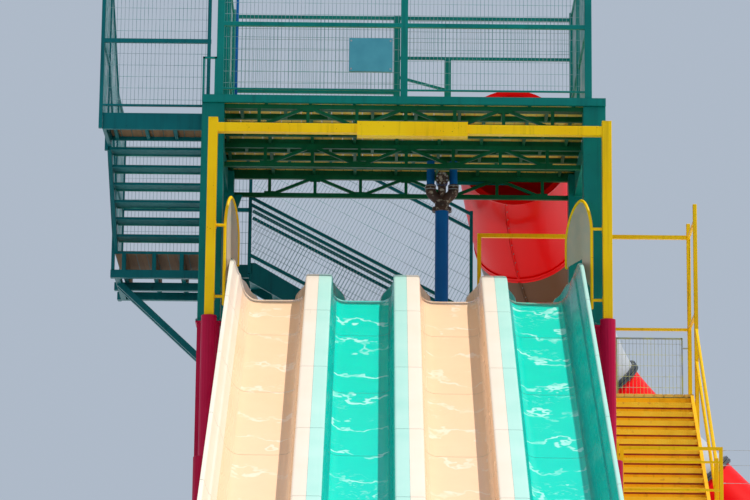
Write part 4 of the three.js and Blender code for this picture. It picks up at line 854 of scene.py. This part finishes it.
seam_ys = [SEAM_FIRST - k * SEAM_PITCH for k in range(SEAMS + 1)]
run_out_ys = [seam_ys[-1], -17.6, -19.3, -20.995, -22.83, -24.665, LANE_END]
for number, centre in enumerate(LANES, 1):
    side = -1 if number == 1 else 1 if number == 4 else 0
    finishes_set = list(TURQUOISE if number % 2 == 0 else CREAM)
    finishes_set.append(TURQUOISE[PALE_TONE] if number == 4 else WHITE_EDGE)
    slot = "turquoise_moulding" if number % 2 == 0 else "cream_moulding"
    ring, finishes = lane_ring(side, centre)

    # straight mouldings, one closed shell each, with their joint flanges turned down
    lane = bmesh.new()
    for upper, lower in zip(seam_ys, seam_ys[1:]):
        ends = (lower + JOINT / 2, upper - JOINT / 2)
        loft(lane, [swept(ring, y) for y in stations_between(*ends, 3)], finishes)
    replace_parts(make(f"lane_{number}_mouldings", lane, slot, *finishes_set, smooth=50), f"lane_{number}")

    run_out = bmesh.new()
    for upper, lower in zip(run_out_ys, run_out_ys[1:]):
        ends = (lower + JOINT / 2, upper - JOINT / 2)
        steps = 8 if upper > FOOT_Y else 2
        loft(run_out, [swept(ring, y) for y in stations_between(*ends, steps)], finishes)
    made = make(f"run_out_{number}_mouldings", run_out, slot, *finishes_set, smooth=50)
    if number == 1:
        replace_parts(made, "run_out")

    # the crest, then the shallow seat behind it between rounded shoulders
    crest = bmesh.new()
    rings = [swept(ring, y) for y in stations_between(SEAM_FIRST + JOINT / 2, CREST_Y, 16)]
    for share, y in ((0.0, 0.47), (0.12, 0.55), (0.3, 0.66), (0.55, 0.74), (0.8, 0.8), (0.95, 0.88),
                     (1.0, 1.0),
                     (1.0, 1.45), (1.0, TUB_BACK)):
        walls = [shoulder_wall(side == s, share) for s in (-1, 1)]
        back_ring, _ = lane_ring(side, centre, *walls)
        rings.append([Vector((x, y, CREST_Z + h)) for x, h in back_ring])
    loft(crest, rings, finishes)
    made = make(f"start_tub_{number}", crest, slot, *finishes_set, smooth=50)
    if number == 1:
        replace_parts(made, "start_tubs")

# joint flanges under the mouldings, with a bolt every 150 mm, and ribs outside the tall walls
joints = bmesh.new()
joint_bolts = bmesh.new()
for number, centre in enumerate(LANES, 1):
    side = -1 if number == 1 else 1 if number == 4 else 0
    for y in seam_ys + run_out_ys[1:-1]:
        z, angle = lane_line(y)
        down = Vector((0, math.sin(angle), -math.cos(angle)))
        along = Vector((0, math.cos(angle), math.sin(angle)))
        base = Vector((centre, y, z)) + down * (SKIN + 0.001)
        for face in (-1, 1):
            mid = base + along * face * 0.012
            corners = [mid + Vector((sx * 0.3, 0, 0)) + down * d + along * t
                       for t in (-0.005, 0.005) for d in (0.0, 0.055) for sx in (-1, 1)]
            verts = [joints.verts.new(c) for c in corners]
            for quad in BOX_SIDES:
                joints.faces.new([verts[i] for i in quad])
        for n in (-1.5, -0.5, 0.5, 1.5):
            bolt(joint_bolts, base + Vector((n * 0.15, 0, 0)) + down * 0.03 + along * 0.017, along, 0.02)
        if side:
            # the rib follows the wall's outside from the floor to under the lip
            path = [(0.445, 0.07), (0.5, 0.24), (0.52, 0.33), (0.572, 0.44),
                    (0.592, OUTER_RISE - SKIN - 0.004)]
            outward = 0.045
            for face in (-1, 1):
                shift = along * face * 0.012
                rows = []
                for w, h in path:
                    inner = Vector((centre + side * w, y, z)) - down * h + shift
                    outer = inner + Vector((side * outward, 0, 0)) * (0.6 if h > 0.5 else 1.0)
                    rows.append([joints.verts.new(p + along * t) for p in (inner, outer) for t in (-0.005,
                                                                                                   0.005)])
                strip(joints, rows)
make("lane_joint_flanges", joints, "cream_moulding", CREAM[BACK], smooth=None)
make("lane_joint_bolts", joint_bolts, "cream_moulding", galvanised)

# sleepers under the run-out and the tubs' legs on the launch frame
sleepers = bmesh.new()
for y in (LANE_END + 0.15, LANE_END + 2.8, FOOT_Y - 0.05):
    box(sleepers, -2.4, 2.4, y, y + 0.22, 0.0, FOOT_Z - SKIN - 0.006, 0.01)
make("run_out_sleepers", sleepers, "crimson_steel", crimson_enamel, smooth=None)
tub_legs = bmesh.new()
for x in (-2.3, -1.21, 0.0, 1.21, 2.3):
    for y in (-1.0, 0.25, 1.5):
        z, angle = lane_line(y)
        top = z - SKIN - 0.02 if y < CREST_Y else CREST_Z - 0.21
        if top > LAUNCH_Z - 0.05:
            box(tub_legs, x - 0.04, x + 0.04, y - 0.04, y + 0.04, LAUNCH_Z - 0.05, top)
box(tub_legs, -2.42, 2.42, 0.2, 0.26, LAUNCH_Z - 0.05, CREST_Z - 0.2)
box(tub_legs, -2.42, 2.42, TUB_BACK - 0.05, TUB_BACK, LAUNCH_Z - 0.05, CREST_Z - 0.2)
make("start_tub_legs", tub_legs, "crimson_steel", crimson_enamel, smooth=None)


# Yellow stair
# Switchback flights of folded tread plate between flat stringers, painted orange-yellow, with
# tubular handrails, toe plates on the landings and mesh panels round the platform.
yellow_tread = tread_plate("yellow_tread_plate", "#FFD000", "#FFDA2A", "#DC9C1E")
riser_paint = enamel("amber_riser_enamel", "#F8B800", "#FAC41C", "#8A4A0C", 0.45)
dark_red_painted_shade = enamel("dark_red_painted_shade", "#8A3018", "#A2452A", "#4A1A0C", 0.6)
YELLOW_IN, YELLOW_OUT = 2.96, 4.335
OUT_IN, OUT_OUT = YELLOW_OUT + 0.52, YELLOW_OUT + 1.73
YELLOW_TOP_Y, YELLOW_GOING, YELLOW_RISE, YELLOW_STEPS = 3.7, 0.205, 0.178, 14
STOREY = YELLOW_STEPS * YELLOW_RISE
FRONT_END = YELLOW_TOP_Y - (YELLOW_STEPS - 1) * YELLOW_GOING
dress(riser_paint, *[f"yellow_flight_{n}" for n in range(1, 6)])
steps_trim = bmesh.new()
for n in range(5):
    down = n % 2 == 0
    xa, xb = (YELLOW_IN, YELLOW_OUT) if down else (OUT_IN, OUT_OUT)
    steps = YELLOW_STEPS if n < 4 else round((LAUNCH_Z - 4 * STOREY) / YELLOW_RISE)
    rise = YELLOW_RISE if n < 4 else (LAUNCH_Z - 4 * STOREY) / steps
    top_y, towards = (YELLOW_TOP_Y, -1) if down else (FRONT_END, 1)
    for k in range(1, steps):
        z = LAUNCH_Z - n * STOREY - k * rise
        y = top_y + towards * (k * YELLOW_GOING)
        back = y - towards * (YELLOW_GOING - 0.012)
        ya, yb = sorted((y + towards * 0.01, back))
        box(steps_trim, xa + 0.052, xb - 0.052, ya, yb, z + 0.0005, z + 0.006, 0.002)
        # nosing turned down in front of the tread
        ya, yb = sorted((y + towards * 0.0105, y + towards * 0.0155))
        box(steps_trim, xa + 0.052, xb - 0.052, ya, yb, z - 0.07, z + 0.004)
        # a dark red strip under each nosing: painted shade beneath the tread
        box(steps_trim, xa + 0.052, xb - 0.052, ya, yb, z - 0.096, z - 0.0705, finish=1)
make("yellow_stair_treads", steps_trim, "tread_steel", yellow_tread, dark_red_painted_shade, smooth=None)

landing_plates = bmesh.new()
LANDING_DEPTH = 1.0
for n in range(1, 5):
    z = LAUNCH_Z - n * STOREY
    near, far = (FRONT_END - LANDING_DEPTH, FRONT_END) if n % 2 else (YELLOW_TOP_Y, PLATFORM_BACK)
    box(landing_plates, YELLOW_IN + 0.01, OUT_OUT - 0.01, near + 0.06, far - 0.06, z + 0.0005, z + 0.006,
        0.002)
make("yellow_landing_plates", landing_plates, "tread_steel", yellow_tread, smooth=None)

# thin steel cables close the top landing's guard across the stair well
cables = bmesh.new()
landing_z, guard_y = LAUNCH_Z - STOREY, FRONT_END - LANDING_DEPTH + 0.03
for rise in (0.25, 0.5, 0.75, 0.96):
    rod(cables, (YELLOW_OUT + 0.03, guard_y, landing_z + rise), (OUT_IN + 0.01, guard_y, landing_z + rise),
        0.003, 8)
    for x in (YELLOW_OUT + 0.045, OUT_IN - 0.02):
        rod(cables, (x, guard_y, landing_z + rise), (x + 0.03, guard_y, landing_z + rise), 0.007, 8)
make("stair_well_cables", cables, "yellow_steel", galvanised)

yellow_wire = coated_wire("yellow_dipped_wire", "#B8BE7C", "#9FAAB0")
stair_mesh = bmesh.new()
for n in range(2, 5):
    z = LAUNCH_Z - n * STOREY
    y = FRONT_END - LANDING_DEPTH + 0.03 if n % 2 else PLATFORM_BACK - 0.03
    upright(stair_mesh, (YELLOW_IN + 0.05, y), (YELLOW_OUT - 0.01, y), z + 0.1, z + 0.78)
    upright(stair_mesh, (OUT_IN + 0.05, y), (OUT_OUT - 0.05, y), z + 0.1, z + 0.78)
make("yellow_stair_mesh", stair_mesh, "yellow_steel", yellow_wire, smooth=None)

# framed mesh panels along the back of the platform, on a stub from the corner post
panels = bmesh.new()
panel_frames = bmesh.new()
PANEL_Y, PANEL_TOP, PANEL_STEP, PANEL_END = 4.7503, 12.94, 1.04, 4.266
for n in range(3):
    xb = PANEL_END - n * PANEL_STEP
    xa = xb - PANEL_STEP + 0.04
    upright(panels, (xa, PANEL_Y), (xb, PANEL_Y), LAUNCH_Z + 0.06, PANEL_TOP)
    for x in (xa, xb):
        box(panel_frames, x - 0.012, x + 0.012, PANEL_Y - 0.012, PANEL_Y + 0.012, LAUNCH_Z - 0.1,
            PANEL_TOP + 0.012)
        box(panel_frames, x - 0.012, x + 0.012, 4.7205, PANEL_Y, LAUNCH_Z - 0.1, LAUNCH_Z - 0.07)
    for z in (LAUNCH_Z + 0.06, PANEL_TOP):
        box(panel_frames, xa, xb, PANEL_Y - 0.012, PANEL_Y + 0.012, z - 0.012, z + 0.012)
box(panel_frames, PANEL_END, 4.36, PANEL_Y - 0.008, PANEL_Y + 0.008, PANEL_TOP - 0.16, PANEL_TOP - 0.14)
make("platform_panel_mesh", panels, "yellow_steel", yellow_wire, smooth=None)
make("platform_panel_frames", panel_frames, "yellow_steel", yellow_wire, smooth=None)


# Water riser
# A 200 mm steel main painted blue brings water up to the deck, where a dark cast tee and two
# flexible couplings fork it into branches that feed the start of the slide and the flume.
blue_enamel = enamel("blue_pipe_enamel", "#04569A", "#0C64A8", "#06345A", 0.35)


def cast_fitting(name):
    """Bare cast iron and rubber couplings: near black, crusted with pale lime where they weep."""
    finish, tree, surface, place = new_finish(name)
    rust = add(tree, "TexNoise", {"Vector": place, "Scale": 1000 / 110, "Detail": 3.0})
    iron = add(tree, "Mix", {0: rust.outputs[0], 6: linear("#101A26"), 7: linear("#5A3A26")},
               data_type="RGBA")
    # crusts 60 mm across
    skin, crust = patched(tree, place, 1000 / 60, 5.0, iron.outputs[2], "#A89C8C", 0.54, 0.66)
    lumps = add(tree, "Bump", {"Height": crust, "Strength": 0.6, "Distance": 0.006})
    feed(surface, {"Base Color": skin, "Normal": lumps.outputs[0], "Roughness": 0.6, "Metallic": 0.3})
    return finish


def pipe_up(mesh, x, y, low, high, radius, sides, finish=0):
    """An upright length of pipe or a flange on it."""
    rod(mesh, (x, y, low), (x, y, high), radius, sides, finish)


iron = cast_fitting("limed_cast_iron")
# a thin standpipe rises behind the deck's front fence, beside its left end
standpipe = bmesh.new()
PIPE_X, PIPE_Y = -2.43, 0.12
pipe_up(standpipe, PIPE_X, PIPE_Y, DECK_Z + 0.001, 17.72, 0.021, 20)
pipe_up(standpipe, PIPE_X, PIPE_Y, DECK_Z + 0.001, DECK_Z + 0.013, 0.055, 20)
for z in (16.4, 17.3):
    pipe_up(standpipe, PIPE_X, PIPE_Y, z - 0.012, z + 0.012, 0.027, 20, 1)
make("deck_standpipe", standpipe, "blue_steel", blue_enamel, galvanised)

main = bmesh.new()
pipe_up(main, RISER_X, RISER_Y, 0.025, 14.45, 0.1, 40)
pipe_up(main, RISER_X, RISER_Y, 0.0, 0.025, 0.17, 40)
for z in (3.0, 6.0, 9.0, 12.9):
    pipe_up(main, RISER_X, RISER_Y, z - 0.022, z - 0.001, 0.155, 32)
    pipe_up(main, RISER_X, RISER_Y, z + 0.001, z + 0.022, 0.155, 32)
    for i in range(8):
        turn = math.pi * i / 4
        spot = (RISER_X + 0.13 * math.cos(turn), RISER_Y + 0.13 * math.sin(turn), z + 0.022)
        bolt(main, spot, (0, 0, 1), 0.022, 1)
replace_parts(make("riser_main", main, "blue_steel", blue_enamel, galvanised), "water_riser")


def bent_pipe(mesh, points, radius, sides=20, finish=0):
    """A tube along a polyline, its joints mitred."""
    points = [Vector(p) for p in points]
    rings = []
    for i, p in enumerate(points):
        before = (p - points[i - 1]).normalized() if i else (points[1] - p).normalized()
        after = (points[i + 1] - p).normalized() if i < len(points) - 1 else before
        run = (before + after).normalized()
        across = Vector((0, 1, 0)).cross(run).normalized()
        up = run.cross(across)
        stretch = 1 / max(0.5, run.dot(after))
        turns = [2 * math.pi * k / sides for k in range(sides)]
        rings.append([mesh.verts.new(p + radius * (math.cos(t) * across * stretch + math.sin(t) * up))
                      for t in turns])
    for a, b in zip(rings, rings[1:]):
        band(mesh, a, b, finish)
    for ring in (rings[0], rings[-1]):
        mesh.faces.new(ring).material_index = finish


fork = bmesh.new()
BEND_FOOT, BRANCH_OUT, BRANCH_R, BLANK_Z = 14.58, 0.17, 0.078, 14.93
pipe_up(fork, RISER_X, RISER_Y, 14.4503, 14.478, 0.145, 28)
pipe_up(fork, RISER_X, RISER_Y, 14.48, 14.508, 0.145, 28)
pipe_up(fork, RISER_X, RISER_Y, 14.508, 14.6, 0.105, 28)
for side in (-1, 1):
    bend = [(RISER_X, RISER_Y, BEND_FOOT)]
    for i in range(1, 7):
        t = i / 6
        bend.append((RISER_X + side * BRANCH_OUT * math.sin(t * math.pi / 2) ** 1.3, RISER_Y,
                     BEND_FOOT + 0.2 * t))
    bent_pipe(fork, bend, BRANCH_R)
    x = RISER_X + side * BRANCH_OUT
    pipe_up(fork, x, RISER_Y, 14.77, 14.86, BRANCH_R, 24)
    for z in (14.79, 14.84):
        pipe_up(fork, x, RISER_Y, z - 0.006, z + 0.006, 0.084, 24, 2)
    pipe_up(fork, x, RISER_Y, 14.85, 15.2237, 0.06, 24, 1)
# a third outlet between the branches, closed by a blank flange towards the slide
pipe_up(fork, RISER_X, RISER_Y, 14.59, 14.9, 0.06, 24)
rod(fork, (RISER_X, RISER_Y - 0.13, BLANK_Z), (RISER_X, RISER_Y + 0.12, BLANK_Z), 0.088, 28, finish=1)
rod(fork, (RISER_X, RISER_Y - 0.155, BLANK_Z), (RISER_X, RISER_Y - 0.13, BLANK_Z), 0.1, 28)
for i in range(8):
    turn = math.pi * (i + 0.5) / 4
    bolt(fork, (RISER_X + 0.08 * math.cos(turn), RISER_Y - 0.155, BLANK_Z + 0.08 * math.sin(turn)),
         (0, -1, 0), 0.018, 2)
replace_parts(make("riser_fork_fitting", fork, "dark_fitting", iron, blue_enamel, galvanised), "riser_fork")


# Closed flume
# Half shells of glass fibre bolted together along two seams and end to end through black flanged
# rings; it leaves the back of the upper deck, turns right and runs down to the ground.
FLUME_R, FLUME_WALL = 0.84, 0.016
FLUME_KNOTS = [Vector(p) for p in (
    (1.65, 3.9003, 15.72), (1.65, 4.15, 15.72), (1.74, 5.1, 15.44), (1.96, 6.3, 14.93), (2.33, 7.35, 14.26),
    (3.08, 8.3, 12.8), (4.67, 8.5, 11.18), (6.3, 8.5, 9.65), (8.4, 8.5, 7.95), (10.8, 8.5, 6.15),
    (13.3, 8.5, 4.4), (15.8, 8.5, 2.85), (18.0, 8.5, 1.75), (20.0, 8.5, 1.2))]
FLUME_BENDS = (0.0, 2.66, 5.8, 8.1)


def centre_line(knots, steps):
    """Points of a centripetal spline through the knots, evenly spaced along it."""
    ends = [2 * knots[0] - knots[1]] + knots + [2 * knots[-1] - knots[-2]]
    fine = []
    for i in range(len(knots) - 1):
        p0, p1, p2, p3 = ends[i:i + 4]
        d0, d1, d2 = ((b - a).length ** 0.5 for a, b in ((p0, p1), (p1, p2), (p2, p3)))
        out = ((p1 - p0) / d0 - (p2 - p0) / (d0 + d1) + (p2 - p1) / d1) * d1
        into = ((p2 - p1) / d1 - (p3 - p1) / (d1 + d2) + (p3 - p2) / d2) * d1
        for k in range(40):
            t = k / 40
            fine.append(p1 + out * t + (3 * (p2 - p1) - 2 * out - into) * t * t
                        + (2 * (p1 - p2) + out + into) * t ** 3)
    fine.append(knots[-1])
    lengths = [0.0]
    for a, b in zip(fine, fine[1:]):
        lengths.append(lengths[-1] + (b - a).length)
    line, k = [], 0
    for i in range(steps + 1):
        want = lengths[-1] * i / steps
        while k < len(fine) - 2 and lengths[k + 1] < want:
            k += 1
        line.append(fine[k].lerp(fine[k + 1], (want - lengths[k]) / (lengths[k + 1] - lengths[k])))
    return line, lengths[-1]


LINE_STEPS = 320
flume_line, flume_length = centre_line(FLUME_KNOTS, LINE_STEPS)
frames = []
side_way = Vector((1, 0, 0))
for i, p in enumerate(flume_line):
    a, b = flume_line[max(0, i - 1)], flume_line[min(LINE_STEPS, i + 1)]
    run = (b - a).normalized()
    if i == 0:
        run = Vector((0, 1, 0))
    side_way = (side_way - run * side_way.dot(run)).normalized()
    frames.append((p, run, side_way.copy(), side_way.cross(run)))


def tube_gelcoat(name, colour, faded, gloss):
    """Pigmented gelcoat on the outside of a tube: even and glossy, paler on faces turned up, partly sun
    bleaching and partly painted light from above.
    """
    finish, tree, surface, place = new_finish(name)
    facing = add(tree, "SeparateXYZ", {"Vector": add(tree, "NewGeometry").outputs["Normal"]})
    clouds = add(tree, "TexNoise", {"Vector": place, "Scale": 1000 / 700, "Detail": 4.0})
    # faces turned up take the paler tone: sun bleaching, and painted light from above
    bleached_and_lit_top = add(tree, "MapRange",
                 {"Value": facing.outputs["Z"], "From Min": 0.2, "From Max": 1.0, "To Max": 0.6})
    uneven = add(tree, "Math", {0: bleached_and_lit_top.outputs[0], 1: clouds.outputs[0]}, operation="MULTIPLY")
    skin = add(tree, "Mix", {0: uneven.outputs[0], 6: linear(colour), 7: linear(faded)}, data_type="RGBA")
    rough = add(tree, "MapRange", {"Value": clouds.outputs[0], "To Min": gloss, "To Max": gloss + 0.15})
    feed(surface, {"Base Color": skin.outputs[2], "Roughness": rough.outputs[0], "IOR": 1.52,
                   "Specular IOR Level": 0.08, "Coat Weight": 0.06, "Coat Roughness": 0.06})
    return finish


RED_TUBE = tube_gelcoat("red_gelcoat_tube", "#EC0000", "#F0201A", 0.3)
# the grey gelcoat darkened to brown for the second tube's first half: painted shade with a reddish cast
GREY_TUBE_PAINTED_SHADE = tube_gelcoat("grey_gelcoat_tube_painted_shade", "#6A4A34", "#86684E", 0.3)
GREY_TUBE = tube_gelcoat("grey_gelcoat_tube", "#B4B8BC", "#D4D6D8", 0.28)
# rubber gaskets and dark painted flanges
black_rubber = clouded("black_rubber_flange", 200, 4.0, "#15181F", "#343A44", 0.5)
TUBE_SIDES = 48
SEAM_TURNS = (math.radians(262), math.radians(82))
# the second tube's brown first half is the grey tube in painted shade
TUBES = (("red_tube", 1, RED_TUBE, RED_TUBE), ("brown_tube", 1, GREY_TUBE_PAINTED_SHADE, GREY_TUBE),
         ("red_tube", 1, RED_TUBE, GREY_TUBE), ("grey_tube", 3, RED_TUBE, GREY_TUBE),
         ("red_tube", 3, RED_TUBE, GREY_TUBE), ("grey_tube", 3, RED_TUBE, GREY_TUBE))


def around(step, radius, turn, shift=0.0):
    """The point at an angle round the flume's skin, 0 to its side and a quarter turn on top."""
    p, run, across, up = frames[step]
    return p + run * shift + radius * (math.cos(turn) * across + math.sin(turn) * up)


# tube ends along the line: three in the bend, the rest shared out evenly
straight = (flume_length - FLUME_BENDS[-1]) / 3
tube_ends = list(FLUME_BENDS) + [FLUME_BENDS[-1] + straight * k for k in (1, 2, 3)]
turns = [2 * math.pi * k / TUBE_SIDES for k in range(TUBE_SIDES)]
FLANGE_RISE, LAP_RISE = 0.066, 0.02
flume_rings = bmesh.new()
flume_laps = bmesh.new()
flume_bolts = bmesh.new()
for n, (slot, lengths_in_tube, upper_finish, lower_finish) in enumerate(TUBES):
    marks = [tube_ends[n] + (tube_ends[n + 1] - tube_ends[n]) * k / lengths_in_tube
             for k in range(lengths_in_tube + 1)]
    tube = bmesh.new()
    for start, end in zip(marks, marks[1:]):
        first, last = (round(mark / flume_length * LINE_STEPS) for mark in (start, end))
        middle = (first + last) // 2
        stations = list(range(first, last, 2)) + [last]
        halves = [0 if step < middle else 1 for step in stations]
        shells = []
        cut = {first: 0.004, last: -0.018 if last == LINE_STEPS else -0.004}
        for radius in (FLUME_R, FLUME_R - FLUME_WALL):
            grid = [[tube.verts.new(around(step, radius, t,
                                           cut.get(step, 0))) for t in turns] for step in stations]
            shells.append(grid)
            for half, a, b in zip(halves, grid, grid[1:]):
                band(tube, a, b, half)
        for at_end in (0, -1):
            band(tube, shells[0][at_end], shells[1][at_end], 1 if at_end else 0)
        # the two lengthwise seams: a pair of lips, bolted about every 250 mm
        for seam in SEAM_TURNS:
            for lip in (-0.011, 0.011):
                strips = []
                for step in stations:
                    shift = 0.03 if step == first else -0.03 if step == last else 0
                    corners = [around(step, r, seam + (lip + t) / FLUME_R, shift)
                               for r in (FLUME_R - 0.004, FLUME_R + 0.03) for t in (-0.006, 0.006)]
                    strips.append([tube.verts.new(c) for c in corners])
                strip(tube, strips, halves)
            for step in range(first + 2, last, 3):
                p, run, across, up = frames[step]
                tangent = -math.sin(seam) * across + math.cos(seam) * up
                bolt(flume_bolts, around(step, FLUME_R + 0.018, seam + 0.017 / FLUME_R), tangent, 0.016)
        # black flanges at both ends; the first joint is a red lap, and so is the flange at the deck
        for step, shift in ((first, 0.027), (last, -0.027)):
            if step in (0, LINE_STEPS):
                shift = 0.034 if step == 0 else -0.042
            at_lap = (n, step) in ((0, last), (1, first))
            collars, rise = (flume_laps, LAP_RISE if at_lap else FLANGE_RISE) if at_lap or step == 0 else (
                flume_rings, FLANGE_RISE)
            ring_grid = []
            for r, s in ((FLUME_R - 0.012, -0.022), (FLUME_R + rise, -0.022), (FLUME_R + rise, 0.022),
                         (FLUME_R - 0.012, 0.022)):
                ring_grid.append([collars.verts.new(around(step, r, t, shift + s)) for t in turns])
            for a, b in zip(ring_grid, ring_grid[1:] + ring_grid[:1]):
                band(collars, a, b)
            if at_lap:
                continue
            for k in range(24):
                turn = 2 * math.pi * (k + 0.5) / 24
                way = frames[step][1] * (-1 if shift < 0 else 1)
                bolt(flume_bolts, around(step, FLUME_R + 0.035, turn, shift) + way * 0.022, way, 0.026)
    piece = make(f"flume_section_{n + 1}", tube, slot, upper_finish, lower_finish)
    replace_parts(piece, f"flume_{n + 1}")
make("flume_flange_rings", flume_rings, "dark_fitting", black_rubber)
make("flume_lap_rings", flume_laps, "red_tube", RED_TUBE)
make("flume_bolts", flume_bolts, "dark_fitting", galvanised)


# Studio
# A plain pale floor, one high key from the right and an even pale surround; the
# camera stands in front of the slide's foot and looks up at the tower with a long lens.
FLOOR_REACH = 700
floor_data = bpy.data.meshes.new("studio_floor")
floor_data.from_pydata([(x * FLOOR_REACH, y * FLOOR_REACH, -0.002) for x,
                        y in ((-1, -1), (1, -1), (1, 1), (-1, 1))],
                       [], [(0, 1, 2, 3)])
floor_data.materials.append(clouded("pale_floor", 6000, 3.0, "#D9DADB", "#E0E1E2", 0.9))
studio_floor = bpy.data.objects.new("studio_floor", floor_data)
bpy.context.scene.collection.objects.link(studio_floor)

world = bpy.data.worlds.new("pale_surround")
world.use_nodes = True
feed(world.node_tree.nodes["Background"], {"Color": linear("#D8E6F8"), "Strength": 0.62})
bpy.context.scene.world = world

key = bpy.data.objects.new("key_light", bpy.data.lights.new("key_light", "SUN"))
key.data.energy = 3.4
key.data.color = (1.0, 0.97, 0.92)
key.data.angle = math.radians(1.0)
key.rotation_mode = "QUATERNION"
key.rotation_quaternion = Vector((0.5, -0.05, 1.0)).to_track_quat("Z", "Y")
bpy.context.scene.collection.objects.link(key)

CAMERA_AT = Vector((-0.44, -46.0, 1.6))
CAMERA_PITCH, CAMERA_ROLL = math.radians(14.04), math.radians(0.6)
FOCAL_PIXELS, PHOTO_WIDTH, SENSOR = 3400, 750, 36.0
camera = bpy.data.objects.new("camera", bpy.data.cameras.new("camera"))
camera.data.sensor_width = SENSOR
camera.data.lens = FOCAL_PIXELS / PHOTO_WIDTH * SENSOR
camera.data.clip_end = 2000
camera.location = ORIGIN + CAMERA_AT
camera.rotation_mode = "XYZ"
look = Matrix.Rotation(math.pi / 2 + CAMERA_PITCH, 4, "X") @ Matrix.Rotation(CAMERA_ROLL, 4, "Z")
camera.rotation_euler = look.to_euler()
bpy.context.scene.collection.objects.link(camera)
bpy.context.scene.camera = camera
bpy.context.scene.view_settings.view_transform = "Standard"
